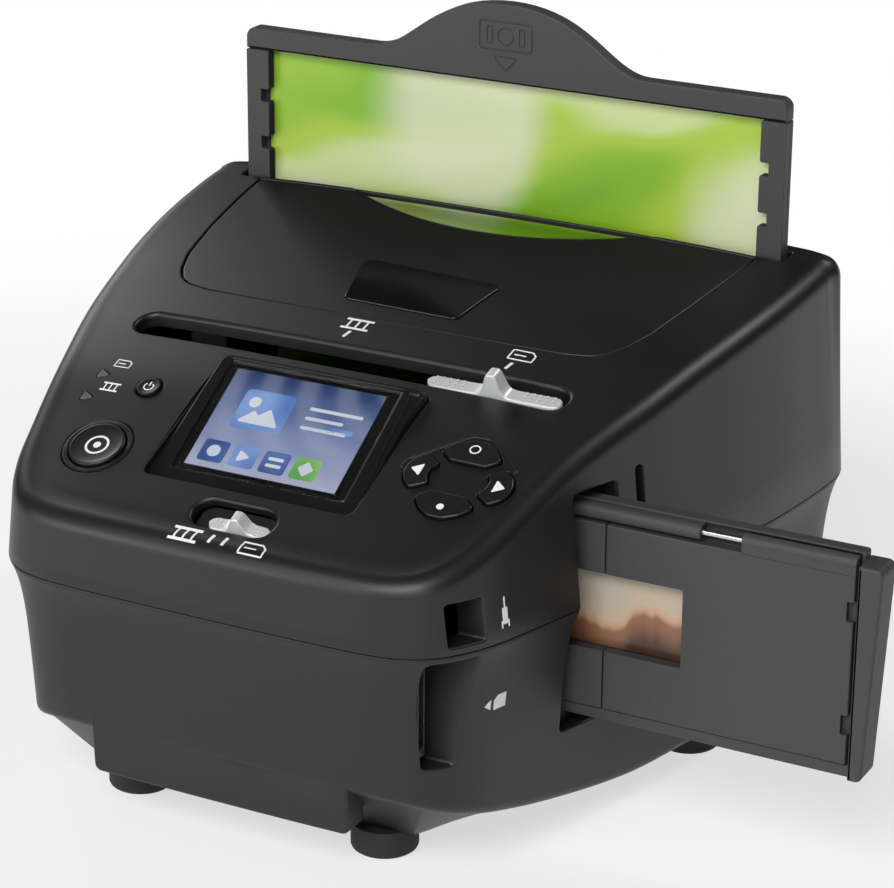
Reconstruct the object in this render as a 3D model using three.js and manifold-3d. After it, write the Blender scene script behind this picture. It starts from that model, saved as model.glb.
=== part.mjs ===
// Desktop film and photo scanner with a lift-out photo tray and a slide-in film holder
// Millimetres, +Z up. While modelling, x = 0 is the plane of symmetry, y = 0 the middle of the
// display, -Y the front and z = 0 the table. The last group moves the origin under the middle.
import * as THREE from 'three';
import { mergeVertices } from 'three/addons/utils/BufferGeometryUtils.js';
import Module from 'manifold-3d';

const wasm = await Module();
wasm.setup();

// General clearances
const gap = 0.3;
const overrun = 12;
const weld = 0.0005;

// Housing
const housing = {
  halfWidth: 117,
  frontY: -48.5,
  depth: 202,
  height: 148,
  seamZ: 75,
  wall: 2.6,
  frontCrown: 6.4,
  midCrown: 3.9,
  rearCrown: 3.4,
  edgeRound: 6.5,
  frontDraft: 0.1,
  sideDraft: 0.09,
  rearDraft: 0.02,
  lowerStep: 3.6,
  lowerStepHeight: 8,
  lowerDraft: 0.055,
  keelZ: 8,
  bowRise: 19,
  keelRound: 4,
  keelInset: 15,
  leastRound: 1,
};
// Right half of the plan outline from the front middle to the rear middle,
// as shares of the half width and of the depth
const planShares = [
  [0, 0], [0.19, 0.0005], [0.359, 0.0025], [0.462, 0.0064], [0.534, 0.0162], [0.59, 0.0344],
  [0.637, 0.0644], [0.684, 0.1138], [0.728, 0.1904], [0.78, 0.2896], [0.861, 0.438], [0.905, 0.542],
  [0.943, 0.641], [0.976, 0.7525], [0.994, 0.849], [1, 0.918], [0.989, 0.961], [0.951, 0.988],
  [0.89, 0.999], [0.76, 1], [0.38, 1], [0, 1],
];
// Side profile of the top as shares of the depth and of the height
const profileDepthShares = [
  0, 0.0516, 0.1155, 0.189, 0.2875, 0.371, 0.435, 0.533, 0.6314, 0.7297, 0.828, 0.926, 1,
];
const profileHeightShares = [
  0.625, 0.6639, 0.7034, 0.7498, 0.8101, 0.8463, 0.8699, 0.9026, 0.9304, 0.9532, 0.972, 0.9884, 0.998,
];
const bowShare = 0.5;
const crownMidShare = 0.4;
const crownPower = 3;
const apron = { halfWidth: 43, bottomZ: 14, topZ: 40, thickness: 9, proud: 0.2 };

// Sloping control panel; its frame has u across, v up the slope and n out of the surface
const panelSpan = { lowY: -25, highY: 10 };

// Display: a flat face tilted further than the panel, low edge sunk and high edge raised;
// its own frame has u across, w up the face and n out of it
const display = {
  tilt: THREE.MathUtils.degToRad(7.6),
  baseHalfWidth: 34.4,
  lowV: -26.4,
  highV: 25,
  sink: 2.4,
  faceHalfWidth: 32.2,
  faceHigh: 48.2,
  cornerRound: 2.4,
  bezelThick: 5.2,
  activeU: -0.7,
  activeW: 26.6,
  activeHalfWidth: 25,
  activeHalfHeight: 18,
  windowU: 0.3,
  windowW: 26.4,
  windowHalfWidth: 28.4,
  windowHalfHeight: 20.6,
  windowThick: 1,
  floorThick: 1,
  rim: 0.9,
  moduleMargin: 2.2,
  moduleThick: 2.2,
};

const scan = { u: -53.6, v: -20.2, radius: 8.6, ringRadius: 10.9, ringDepth: 1.2, lift: 0.9 };
const power = { u: -50.7, v: 5.9, radius: 3.7, lift: 0.7 };
const pad = { u: 58.3, v: -5.4, lift: 0.9 };
// Outlines of the upper and of the right button of the pad, from the pad's centre
const padCap = [
  [5.5, 6.2], [9.3, 9.4], [6.2, 13.1], [2.2, 15.4], [-2.2, 15.4], [-6.2, 13.1], [-9.3, 9.4], [-5.5, 6.2],
];
const padSide = [
  [7.6, -3.8], [12.3, -6.9], [15.4, -4.3], [16.6, -1.4], [16.6, 1.4], [15.4, 4.3], [12.3, 6.9], [7.6, 3.8],
  [9.2, 1.4], [9.2, -1.4],
];
const button = { hollow: 0.4, flange: 1.3, flangeThick: 1.2, flangeDrop: 3.2 };
const lamp = { u: -68, topV: 8.3, pitch: 10.1, half: 1.9, lift: 0.2, depth: 4.6 };

const upperSlot = { halfLength: 68.2, radius: 4.7, y: 34.9 };
const upperKnob = {
  x: 49.8, halfLength: 22, radius: 3.4, drop: 3.2, finHalf: 7.5, finTopHalf: 2.6, finRise: 5.8,
  finDepthHalf: 4.2, flangeHalfLength: 26, flangeHalfDepth: 6.6, flangeThick: 1.6,
};
const lowerSlot = { u: 2, v: -36.8, halfLength: 8.1, radius: 5.1 };
const lowerKnob = {
  u: 3.6, halfLength: 9.9, radius: 2.9, drop: 3, finHalf: 4.6, finTopHalf: 1.7, finRise: 4.2,
  finDepthHalf: 4.2, flangeHalfLength: 14.5, flangeHalfDepth: 6.4, flangeThick: 1.4, flangeDrop: 4.2,
};

// Cover panel let into the top, with a blank plate
const cover = { recess: 1.7, thick: 1.4, seam: 0.5, rearY: 133.4, frontY: 54.6, halfWidth: 90 };
const coverShares = [
  [0, 0], [0.5, 0.004], [0.68, 0.012], [0.775, 0.036], [0.82, 0.072], [0.857, 0.135],
  [0.897, 0.26], [0.938, 0.513], [0.968, 0.767], [0.99, 1],
];
const badge = {
  frontLeft: [-17.2, 63.2], frontRight: [22, 62.3], rearRight: [25.9, 85.1], rearLeft: [-23.1, 87.7],
  recess: 0.5, thick: 0.6,
};

// Photo tray in its slot at the rear
const tray = {
  halfWidth: 95.6, frontY: 136.6, thick: 5.6, bottomZ: 50, jointZ: 187, barTopZ: 194, humpTopZ: 212.5,
  humpHalf: 48, humpShoulder: 34, humpCrown: 28, cornerRadius: 7, plateThick: 2, railWidth: 8.4,
  bottomBar: 10, notch: 3, notchHeight: 4.2, notchTopZ: 173.6, notchPitch: 16, notchCount: 7,
  travelDown: 24,
};
const print = { halfWidth: 88.9, height: 127, thick: 0.3, topZ: 188, pocket: 0.9 };
const traySlot = { sideGap: 1.4, frontGap: 1.7, rearGap: 0.8 };
const fingerNotch = { radius: 92, halfWidth: 52, frontY: 118 };
const trayGuide = { lip: 3.2, wall: 1.8, lowZ: 22.4, topZ: 136, bossDepth: 5 };

// Film holder, sliding through the right side
const holder = {
  innerX: -50, plateEndX: 170.4, handleX: 171, outerX: 178.4, bottomZ: 38.8, topZ: 105.8, frontY: 14,
  lidThick: 3.3, backY: 22, lipFrontY: 15, lipTopZ: 42.5, handleFrontY: 12.6, handleBackY: 23.2,
  handleTopZ: 103.4, handleTaper: 3.2, handleCorner: 1.8,
};
const lid = { leafX: 95.5, endX: 170, bottomZ: 42.9, topZ: 100 };
const hinge = {
  y: 16.2, z: 102.8, radius: 2.3, pinRadius: 0.9, pinStartX: 90, frameEndX: 123.9, lidStartX: 136.3,
};
const film = {
  gateWidth: 36, gateHeight: 24, z: 73, firstX: 101.5, pitch: 42, count: 4, width: 35, thick: 0.3,
};
const filmPocket = { depth: 1, side: 0.2, endMargin: 3 };

// Openings in the right side
const filmMouth = { frontY: 9, backY: 25.5, bottomZ: 35, topZ: 109 };
const sideSlit = { frontY: 33.2, backY: 36.2, bottomZ: 96, topZ: 111 };
const usbMouth = { frontY: -37.2, backY: -27, bottomZ: 77.4, topZ: 90 };
const cardMouth = {
  topFrontY: -41, topBackY: -27.4, bottomFrontY: -37.6, bottomBackY: -30.4, bottomZ: 38.6, topZ: 72.6,
};
const mouthReach = 60;

// Film gate that guides the holder inside
const gate = {
  innerX: -82, outerX: 82, wall: 2, slack: 0.4, bottomZ: 30, channel: 6, topZ: 110.4, postWidth: 6,
  bossWidth: 8,
};

// Camera and optics
const camera = {
  half: 12, frontY: -18, backY: -34, bottomZ: 58, topZ: 84, barrelRadius: 7.5, barrelFrontY: -12.5,
  lensRadius: 5.5, lensThick: 1.6, standHalf: 8, standFrontY: -20, standBackY: -30, standBottomZ: 22,
  bossHalf: 11, bossMargin: 2,
};
const lensCarriage = {
  halfWidth: 13, frontY: -8, thick: 3, bottomZ: 60, armZ: 85, armThick: 2.4, armHalf: 5, windowRadius: 9,
  stemHalf: 3,
};
const backlight = {
  x: 55, half: 25, frontY: 29, thick: 3, bottomZ: 50, topZ: 96, armHalf: 6, lampThick: 1.2,
  lampHalfWidth: 20, lampHalf: 15,
};
const photoLamp = { x: 88, y: 98, halfWidth: 3, halfDepth: 6, bottomZ: 13.6, topZ: 124 };

// Circuit boards and sockets
const controlBoard = {
  halfWidth: 70, lowV: -26, highV: 3.5, drop: 10.6, thick: 1.6, postRadius: 3, postU: 37, postV: -20,
};
const portBoard = { frontY: -32.4, thick: 1.6, innerX: 30, outerX: 60, bottomZ: 30, topZ: 91 };
const cardSocket = {
  innerX: 34, outerX: 63, thick: 4.4, bottomZ: 41, topZ: 71, slot: 2.5, slotHalf: 12.5, slotDepth: 24,
};
const usbSocket = { innerX: 53, outerX: 63, thick: 4.6, bottomZ: 79.2, topZ: 88, rim: 0.7, depth: 7 };
const portPost = { innerX: 38, outerX: 48, backY: -21, topZ: 62 };
const mainBoard = {
  innerX: -66, outerX: -18, frontY: -14, backY: 8, z: 22, thick: 1.6, bossRadius: 3.2, inset: 6,
};

// Feet and screws
const foot = { radius: 10, frontX: 41.9, frontY: -17.5, rearX: 92, rearY: 86.5, lip: 1.2, recess: 0.8 };
const caseScrew = {
  headRadius: 3, headHeight: 1.3, sink: 1.7, x: 60, frontY: 36, rearY: 124, bossRadius: 6,
  shank: 1.5, shankLength: 9,
};
// Plate on the floor with a raised seat for everything that stands inside
const chassisPlate = { halfWidth: 97, frontY: -34, rearY: 143, thick: 2.4 };

const facets = 24;
const screwFacets = 12;

// Boolean helpers
function solid(geometry) {
  const bare = geometry.clone();
  bare.deleteAttribute('normal');
  bare.deleteAttribute('uv');
  const merged = mergeVertices(bare, weld);
  return new wasm.Manifold(new wasm.Mesh({
    numProp: 3,
    vertProperties: new Float32Array(merged.attributes.position.array),
    triVerts: new Uint32Array(merged.index.array),
  }));
}

function geometryOf(body) {
  const mesh = body.getMesh();
  const geometry = new THREE.BufferGeometry();
  geometry.setAttribute('position', new THREE.BufferAttribute(new Float32Array(mesh.vertProperties), 3));
  geometry.setIndex(new THREE.BufferAttribute(new Uint32Array(mesh.triVerts), 1));
  geometry.computeVertexNormals();
  return geometry;
}

function joined(bodies) {
  return bodies.reduce((whole, body) => whole.add(body));
}

function cut(body, tools) {
  return tools.reduce((left, tool) => left.subtract(tool), body);
}

// Box between two corners
function block([x0, y0, z0], [x1, y1, z1]) {
  const geometry = new THREE.BoxGeometry(x1 - x0, y1 - y0, z1 - z0);
  geometry.translate((x0 + x1) / 2, (y0 + y1) / 2, (z0 + z1) / 2);
  return solid(geometry);
}

function prismGeometry(shape, low, high, curveSegments = 8) {
  const settings = { depth: high - low, bevelEnabled: false, curveSegments };
  const geometry = new THREE.ExtrudeGeometry(shape, settings);
  geometry.translate(0, 0, low);
  return geometry;
}

function prism(shape, low, high, curveSegments) {
  return solid(prismGeometry(shape, low, high, curveSegments));
}

// Prism standing on the control panel
function panelPrism(shape, low, high, curveSegments) {
  const geometry = prismGeometry(shape, low, high, curveSegments);
  geometry.rotateX(panelSlope);
  geometry.translate(0, 0, panelZ);
  return solid(geometry);
}

// Prism along v on the control panel from an outline drawn in u and n
function panelRidge(shape, low, high, curveSegments) {
  const geometry = frontGeometry(shape, low, high, curveSegments);
  geometry.rotateX(panelSlope);
  geometry.translate(0, 0, panelZ);
  return solid(geometry);
}

// Prism standing on the display face
function facePrism(shape, low, high) {
  const geometry = prismGeometry(shape, low, high);
  geometry.rotateX(panelSlope + display.tilt);
  geometry.translate(...onPanel(0, display.lowV, -display.sink));
  return solid(geometry);
}

// Prism along X from an outline drawn in y and z
function sidePrism(shape, low, high, curveSegments) {
  const geometry = prismGeometry(shape, low, high, curveSegments);
  geometry.rotateZ(Math.PI / 2);
  geometry.rotateY(Math.PI / 2);
  return solid(geometry);
}

// Prism along Y from an outline drawn in x and z
function frontGeometry(shape, low, high, curveSegments) {
  const geometry = prismGeometry(shape, 0, high - low, curveSegments);
  geometry.rotateX(Math.PI / 2);
  geometry.translate(0, high, 0);
  return geometry;
}

function frontPrism(shape, low, high, curveSegments) {
  return solid(frontGeometry(shape, low, high, curveSegments));
}

// Flat outlines
function circle(x, y, radius) {
  const shape = new THREE.Shape();
  shape.absarc(x, y, radius, 0, 2 * Math.PI, false);
  return shape;
}

function polygon(points) {
  return new THREE.Shape(points.map(([x, y]) => new THREE.Vector2(x, y)));
}

// Outline with every side moved out by grow; points run counterclockwise
function grown(points, grow) {
  const normal = ([x0, y0], [x1, y1]) => new THREE.Vector2(y1 - y0, x0 - x1).normalize();
  return points.map((point, i) => {
    const before = normal(points[(i + points.length - 1) % points.length], point);
    const after = normal(point, points[(i + 1) % points.length]);
    const reach = grow / (1 + before.dot(after));
    return [point[0] + (before.x + after.x) * reach, point[1] + (before.y + after.y) * reach];
  });
}

// Slot outline with round ends, centred at x and y
function stadium(x, y, halfLength, radius) {
  const shape = new THREE.Shape();
  shape.absarc(x + halfLength, y, radius, -Math.PI / 2, Math.PI / 2, false);
  shape.absarc(x - halfLength, y, radius, Math.PI / 2, 1.5 * Math.PI, false);
  shape.closePath();
  return shape;
}

function rod(radius, low, high, segments = facets) {
  const geometry = new THREE.CylinderGeometry(radius, radius, high - low, segments);
  geometry.rotateX(Math.PI / 2);
  geometry.translate(0, 0, (low + high) / 2);
  return geometry;
}

function uprightRod(x, y, radius, low, high, segments) {
  return solid(rod(radius, low, high, segments).translate(x, y, 0));
}

function crossRod(y, z, radius, low, high, segments) {
  return solid(rod(radius, low, high, segments).rotateY(Math.PI / 2).translate(0, y, z));
}

function forwardRod(x, z, radius, low, high, segments) {
  return solid(rod(radius, -high, -low, segments).rotateX(Math.PI / 2).translate(x, 0, z));
}

// Housing surfaces
const heightCurve = new THREE.CubicInterpolant(
  new Float32Array(profileDepthShares),
  new Float32Array(profileHeightShares),
  1,
);

function depthShare(y) {
  return THREE.MathUtils.clamp((y - housing.frontY) / housing.depth, 0, 1);
}

function topZ(x, y) {
  const back = depthShare(y);
  const { frontCrown, midCrown, rearCrown } = housing;
  const crown = back < crownMidShare
    ? THREE.MathUtils.lerp(frontCrown, midCrown, back / crownMidShare)
    : THREE.MathUtils.lerp(midCrown, rearCrown, (back - crownMidShare) / (1 - crownMidShare));
  const side = Math.abs(x) / housing.halfWidth;
  return heightCurve.evaluate(back)[0] * housing.height - crown * side ** crownPower;
}

const panelSlope = Math.atan2(
  topZ(0, panelSpan.highY) - topZ(0, panelSpan.lowY),
  panelSpan.highY - panelSpan.lowY,
);
const panelZ = topZ(0, panelSpan.lowY) - panelSpan.lowY * Math.tan(panelSlope);

function keelEdgeZ(y) {
  const rise = Math.max(0, 1 - depthShare(y) / bowShare) ** 2;
  return housing.keelZ + housing.bowRise * rise;
}

const outlineCount = 54;
const innerCount = 36;

function planOutline(count) {
  const right = planShares.map(([x, y]) => new THREE.Vector3(
    x * housing.halfWidth,
    housing.frontY + y * housing.depth,
    0,
  ));
  const left = right.slice(1, -1).reverse().map((point) => new THREE.Vector3(-point.x, point.y, 0));
  const curve = new THREE.CatmullRomCurve3([...right, ...left], true, 'centripetal');
  return Array.from({ length: count }, (_, i) => {
    const point = curve.getPoint(i / count);
    const along = curve.getTangent(i / count);
    return { x: point.x, y: point.y, nx: along.y, ny: -along.x };
  });
}

function draftOf(point) {
  const front = Math.max(0, -point.ny);
  const rear = Math.max(0, point.ny);
  return housing.sideDraft
    + (housing.frontDraft - housing.sideDraft) * front
    + (housing.rearDraft - housing.sideDraft) * rear;
}

// How far the lower half draws in below the seam: a soft step, then a slight draft
function lowerLean(z) {
  const below = Math.max(0, housing.seamZ - z);
  return housing.lowerStep * (1 - Math.exp(-below / housing.lowerStepHeight)) + housing.lowerDraft * below;
}

// Closed body from rings of equal length, capped by a fan at each end
function ringBody(rings, firstCentre, lastCentre) {
  const count = rings[0].length;
  const positions = rings.flat(2);
  positions.push(...firstCentre, ...lastCentre);
  const first = rings.length * count;
  const index = [];
  for (let i = 0; i < count; i++) {
    const next = (i + 1) % count;
    index.push(first, next, i);
    const base = (rings.length - 1) * count;
    index.push(first + 1, base + i, base + next);
  }
  for (let ring = 0; ring + 1 < rings.length; ring++) {
    for (let i = 0; i < count; i++) {
      const next = (i + 1) % count;
      const low = ring * count;
      const high = low + count;
      index.push(low + i, low + next, high + next, low + i, high + next, high + i);
    }
  }
  const geometry = new THREE.BufferGeometry();
  geometry.setAttribute('position', new THREE.BufferAttribute(new Float32Array(positions), 3));
  geometry.setIndex(index);
  return solid(geometry);
}

const middleY = housing.frontY + housing.depth / 2;
const wallShares = [0, 1];
const lowerWallShares = [0, 0.5, 0.8, 0.92, 1];
const roundAngleShares = [0.3, 0.65, 1];
const deckShares = [0.14, 0.36, 0.6, 0.82];

// Upper hull from bottomZ to its crowned top, drawn in by inset
function upperHull(bottomZ, inset, count = outlineCount) {
  const outline = planOutline(count);
  const round = Math.max(housing.edgeRound - inset, housing.leastRound);
  const columns = outline.map((point) => {
    const draft = draftOf(point);
    const at = (inward, z) => [point.x - point.nx * inward, point.y - point.ny * inward, z];
    const shoulder = (inward) => {
      const [x, y] = at(inward, 0);
      return topZ(x, y) - inset;
    };
    const leanAt = (z) => inset + draft * Math.max(0, z - housing.seamZ);
    const wallTop = shoulder(leanAt(housing.height) + round) - round;
    const walls = wallShares.map((share) => {
      const z = bottomZ + (wallTop - bottomZ) * share;
      return at(leanAt(z), z);
    });
    const rounds = roundAngleShares.map((share) => {
      const angle = share * Math.PI / 2;
      const inward = leanAt(wallTop) + round * (1 - Math.cos(angle));
      const [x, y] = at(inward, 0);
      const surface = share === 1 ? topZ(x, y) - inset : wallTop + round * Math.sin(angle);
      return [x, y, surface];
    });
    const edge = rounds[rounds.length - 1];
    const deck = deckShares.map((share) => {
      const x = edge[0] * (1 - share);
      const y = edge[1] + (middleY - edge[1]) * share;
      return [x, y, topZ(x, y) - inset];
    });
    return [...walls, ...rounds, ...deck];
  });
  const rings = columns[0].map((_, ring) => columns.map((column) => column[ring]));
  return ringBody(rings, [0, middleY, bottomZ], [0, middleY, topZ(0, middleY) - inset]);
}

// Lower hull from the keel up to topLevel, drawn in by inset
function lowerHull(topLevel, inset, count = outlineCount) {
  const outline = planOutline(count);
  const round = Math.max(housing.keelRound - inset, housing.leastRound);
  const columns = outline.map((point) => {
    const at = (inward, z) => [point.x - point.nx * inward, point.y - point.ny * inward, z];
    const edge = keelEdgeZ(point.y) + inset;
    const leanAt = (z) => inset + lowerLean(z);
    const wallBottom = edge + round;
    const floor = at(leanAt(wallBottom) + round + housing.keelInset, housing.keelZ + inset);
    const rounds = [...roundAngleShares].reverse().map((share) => {
      const angle = share * Math.PI / 2;
      return at(leanAt(wallBottom) + round * (1 - Math.cos(angle)), wallBottom - round * Math.sin(angle));
    });
    const walls = lowerWallShares.map((share) => {
      const z = wallBottom + (topLevel - wallBottom) * share;
      return at(leanAt(z), z);
    });
    return [floor, ...rounds, ...walls];
  });
  const rings = columns[0].map((_, ring) => columns.map((column) => column[ring]));
  return ringBody(rings, [0, middleY, housing.keelZ + inset], [0, middleY, topLevel]);
}

const upperBody = upperHull(housing.seamZ + gap / 2, 0);

// Body kept under a surface that lies lift above the housing
function underSurface(body, lift) {
  return body.intersect(upperBody.translate([0, 0, lift]).add(upperBody));
}

// Points on the control panel and on the display face
function onPanel(u, v, n) {
  const sin = Math.sin(panelSlope);
  const cos = Math.cos(panelSlope);
  return [u, v * cos - n * sin, panelZ + v * sin + n * cos];
}

function onFace(u, w) {
  const along = w * Math.cos(display.tilt);
  const up = w * Math.sin(display.tilt);
  return onPanel(u, display.lowV + along, up - display.sink);
}

function rectangle(x, y, halfWidth, halfHeight) {
  return polygon([
    [x - halfWidth, y - halfHeight], [x + halfWidth, y - halfHeight],
    [x + halfWidth, y + halfHeight], [x - halfWidth, y + halfHeight],
  ]);
}

const cornerSteps = [0, 0.5, 1];

// Outline of a symmetric four-sided plate with its corners cut round
function plateOutline(lowHalf, highHalf, low, high, round) {
  const corners = [
    [lowHalf, low, 0, -1], [highHalf, high, 1, 0], [-highHalf, high, 0, 1], [-lowHalf, low, -1, 0],
  ];
  return corners.flatMap(([x, y], i) => cornerSteps.map((step) => {
    const angle = (i - 1 + step) * Math.PI / 2;
    const centreX = x - Math.sign(x) * round;
    const centreY = y - (y === low ? -round : round);
    return [centreX + round * Math.cos(angle), centreY + round * Math.sin(angle)];
  }));
}

function bezelBase() {
  const { baseHalfWidth, lowV, highV, cornerRound } = display;
  return plateOutline(baseHalfWidth, baseHalfWidth, lowV, highV, cornerRound);
}

function moved(points, x, y) {
  return points.map(([u, v]) => [u + x, v + y]);
}

// Outlines of the pad's four buttons
const padOutlines = {
  right: moved(padSide, pad.u, pad.v),
  up: moved(padCap, pad.u, pad.v),
  left: moved(padSide.map(([x, y]) => [-x, -y]), pad.u, pad.v),
  down: moved(padCap.map(([x, y]) => [-x, -y]), pad.u, pad.v),
};

function lampShape(v, grow) {
  const { u, half } = lamp;
  return polygon(grown([[u - half, v - half], [u + half, v], [u - half, v + half]], grow));
}

const lampVs = [lamp.topV, lamp.topV - lamp.pitch];

function coverShape(shrink) {
  const depth = cover.rearY - cover.frontY;
  const right = coverShares.map(([x, y]) => [
    x * cover.halfWidth - (x === 0 ? 0 : shrink),
    cover.frontY + shrink + y * (depth - 2 * shrink),
  ]);
  const left = right.slice(1).reverse().map(([x, y]) => [-x, y]);
  return polygon([...right, ...left]);
}

// Tool that cuts the photo slot and the finger notch in its front edge
function traySlotTool(grow) {
  const halfWidth = tray.halfWidth + traySlot.sideGap + grow;
  const slot = block(
    [-halfWidth, tray.frontY - traySlot.frontGap - grow, trayGuide.topZ + gap],
    [halfWidth, tray.frontY + tray.thick + traySlot.rearGap + grow, housing.height + overrun],
  );
  const notch = uprightRod(
    0,
    fingerNotch.frontY + fingerNotch.radius - grow,
    fingerNotch.radius,
    trayGuide.topZ + gap,
    housing.height + overrun,
    facets * 4,
  );
  const reach = block(
    [-fingerNotch.halfWidth, fingerNotch.frontY - overrun, trayGuide.topZ],
    [fingerNotch.halfWidth, tray.frontY, housing.height + overrun],
  );
  return slot.add(notch.intersect(reach));
}

// Rectangular way in through the right side
function sideTool(mouth) {
  return block(
    [mouthReach, mouth.frontY, mouth.bottomZ],
    [housing.halfWidth + overrun, mouth.backY, mouth.topZ],
  );
}

// Tapered recess round the memory card slot
function cardTool() {
  const { topFrontY, topBackY, bottomFrontY, bottomBackY, bottomZ, topZ: top } = cardMouth;
  const outline = polygon([
    [bottomFrontY, bottomZ], [bottomBackY, bottomZ], [topBackY, top], [topFrontY, top],
  ]);
  return sidePrism(outline, mouthReach, housing.halfWidth + overrun);
}

function upperHousing() {
  const inner = upperHull(housing.seamZ - overrun, housing.wall, innerCount);
  const posts = [-1, 1].map((side) => panelPrism(
    circle(side * controlBoard.postU, controlBoard.postV, controlBoard.postRadius),
    -controlBoard.drop + gap,
    -housing.wall / 2,
  ));
  const shell = joined([upperBody.subtract(inner), ...posts.map((post) => post.intersect(upperBody))]);
  const through = overrun;
  const { u, v, halfLength, radius } = lowerSlot;
  const tools = [
    panelPrism(polygon(grown(bezelBase(), gap)), -through, through),
    panelPrism(circle(scan.u, scan.v, scan.radius + button.hollow), -through, through, facets / 2),
    panelPrism(circle(power.u, power.v, power.radius + button.hollow), -through, through),
    ...Object.values(padOutlines).map((outline) => (
      panelPrism(polygon(grown(outline, button.hollow)), -through, through)
    )),
    ...lampVs.map((v) => panelPrism(lampShape(v, gap), -through, through)),
    panelPrism(stadium(u, v, halfLength, radius), -through, through),
    prism(
      stadium(0, upperSlot.y, upperSlot.halfLength, upperSlot.radius),
      topZ(0, upperSlot.y) - through,
      housing.height,
    ),
    coverRecess(),
    traySlotTool(0),
    sideTool(filmMouth),
    sideTool(sideSlit),
    sideTool(usbMouth),
    scanRingSpace(gap),
  ];
  return cut(shell, tools);
}

function coverRecess() {
  const above = prism(coverShape(0), housing.seamZ, housing.height + overrun);
  return above.subtract(upperBody.translate([0, 0, -cover.recess]));
}

function topCover() {
  const plate = prism(coverShape(cover.seam), housing.seamZ, housing.height + overrun);
  const layer = upperBody.subtract(upperBody.translate([0, 0, -cover.thick]));
  const seat = prism(badgeShape(gap), housing.seamZ, housing.height + overrun)
    .subtract(upperBody.translate([0, 0, -badge.recess]));
  return cut(plate.intersect(layer), [traySlotTool(cover.seam), seat]);
}

function badgeShape(grow) {
  const { frontLeft, frontRight, rearRight, rearLeft } = badge;
  return polygon(grown([frontLeft, frontRight, rearRight, rearLeft], grow));
}

function badgePlate() {
  const column = prism(badgeShape(0), housing.seamZ, housing.height + overrun);
  const top = upperBody.translate([0, 0, badge.thick - badge.recess + gap]);
  return column.intersect(top).subtract(upperBody.translate([0, 0, gap - badge.recess]));
}

function lowerHousing() {
  const outer = lowerHull(housing.seamZ - gap / 2, 0);
  const inner = lowerHull(housing.seamZ + overrun, housing.wall, innerCount);
  const tools = [
    sideTool(filmMouth),
    cardTool(),
    ...screwBores(),
    ...footSpots().map(([x, y]) => uprightRod(
      x, y, foot.radius + gap, housing.keelZ - overrun, housing.keelZ + foot.recess,
    )),
  ];
  return cut(outer.add(skirt()).subtract(inner), tools);
}

// Flat skirt below the front wall
function skirt() {
  const frontAt = (z) => housing.frontY - apron.proud + lowerLean(z);
  const outline = polygon([
    [frontAt(apron.bottomZ), apron.bottomZ],
    [frontAt(apron.bottomZ) + apron.thickness, apron.bottomZ],
    [frontAt(apron.topZ) + housing.wall, apron.topZ],
    [frontAt(apron.topZ) + apron.proud, apron.topZ],
  ]);
  return sidePrism(outline, -apron.halfWidth, apron.halfWidth);
}

function chassis() {
  const { halfWidth, frontY, rearY, thick } = chassisPlate;
  const floor = housing.keelZ + housing.wall;
  const plate = block([-halfWidth, frontY, floor], [halfWidth, rearY, floor + gap + thick]);
  const room = lowerHull(housing.seamZ, housing.wall + gap, innerCount);
  return cut(joined([plate, ...chassisSeats(floor)]).intersect(room), screwBores());
}

function chassisSeats(floor) {
  const gateFrontY = holder.frontY - gate.slack - gate.wall;
  const gateBackY = holder.backY + gate.slack + gate.wall;
  const screwTop = housing.keelZ + caseScrew.sink + caseScrew.shankLength + housing.wall;
  return [
    block(
      [-camera.bossHalf, camera.standBackY - camera.bossMargin, floor],
      [camera.bossHalf, camera.standFrontY + camera.bossMargin, camera.standBottomZ - gap],
    ),
    block(
      [portPost.innerX, portBoard.frontY + portBoard.thick + gap, floor],
      [portPost.outerX, portPost.backY, portPost.topZ],
    ),
    ...[gate.innerX, gate.outerX - gate.bossWidth].map((x) => block(
      [x, gateFrontY, floor],
      [x + gate.bossWidth, gateBackY, gate.bottomZ - gap],
    )),
    ...[-tray.halfWidth - gap, tray.halfWidth - trayGuide.lip].map((x) => block(
      [x, tray.frontY - gap, floor],
      [x + trayGuide.lip + gap, tray.frontY + trayGuide.bossDepth, trayGuide.lowZ - gap],
    )),
    ...mainBoardSpots().map(([x, y]) => (
      uprightRod(x, y, mainBoard.bossRadius, floor, mainBoard.z - gap, screwFacets)
    )),
    ...screwSpots().map(([x, y]) => uprightRod(x, y, caseScrew.bossRadius, floor, screwTop, screwFacets)),
  ];
}

// Counterbores and pilot holes of the case screws
function screwBores() {
  const seat = housing.keelZ + caseScrew.sink;
  const end = seat + caseScrew.shankLength + gap;
  return screwSpots().flatMap(([x, y]) => [
    uprightRod(x, y, caseScrew.headRadius + gap, housing.keelZ - overrun, seat, screwFacets),
    uprightRod(x, y, caseScrew.shank + gap, housing.keelZ, end, screwFacets),
  ]);
}

function mainBoardSpots() {
  const { innerX, outerX, frontY, backY, inset } = mainBoard;
  return [
    [innerX + inset, frontY + inset], [outerX - inset, frontY + inset],
    [innerX + inset, backY - inset], [outerX - inset, backY - inset],
  ];
}

function screwSpots() {
  const { x, frontY, rearY } = caseScrew;
  return [[-x, frontY], [x, frontY], [-x, rearY], [x, rearY]];
}

function footSpots() {
  const { frontX, frontY, rearX, rearY } = foot;
  return [[-frontX, frontY], [frontX, frontY], [-rearX, rearY], [rearX, rearY]];
}

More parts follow.
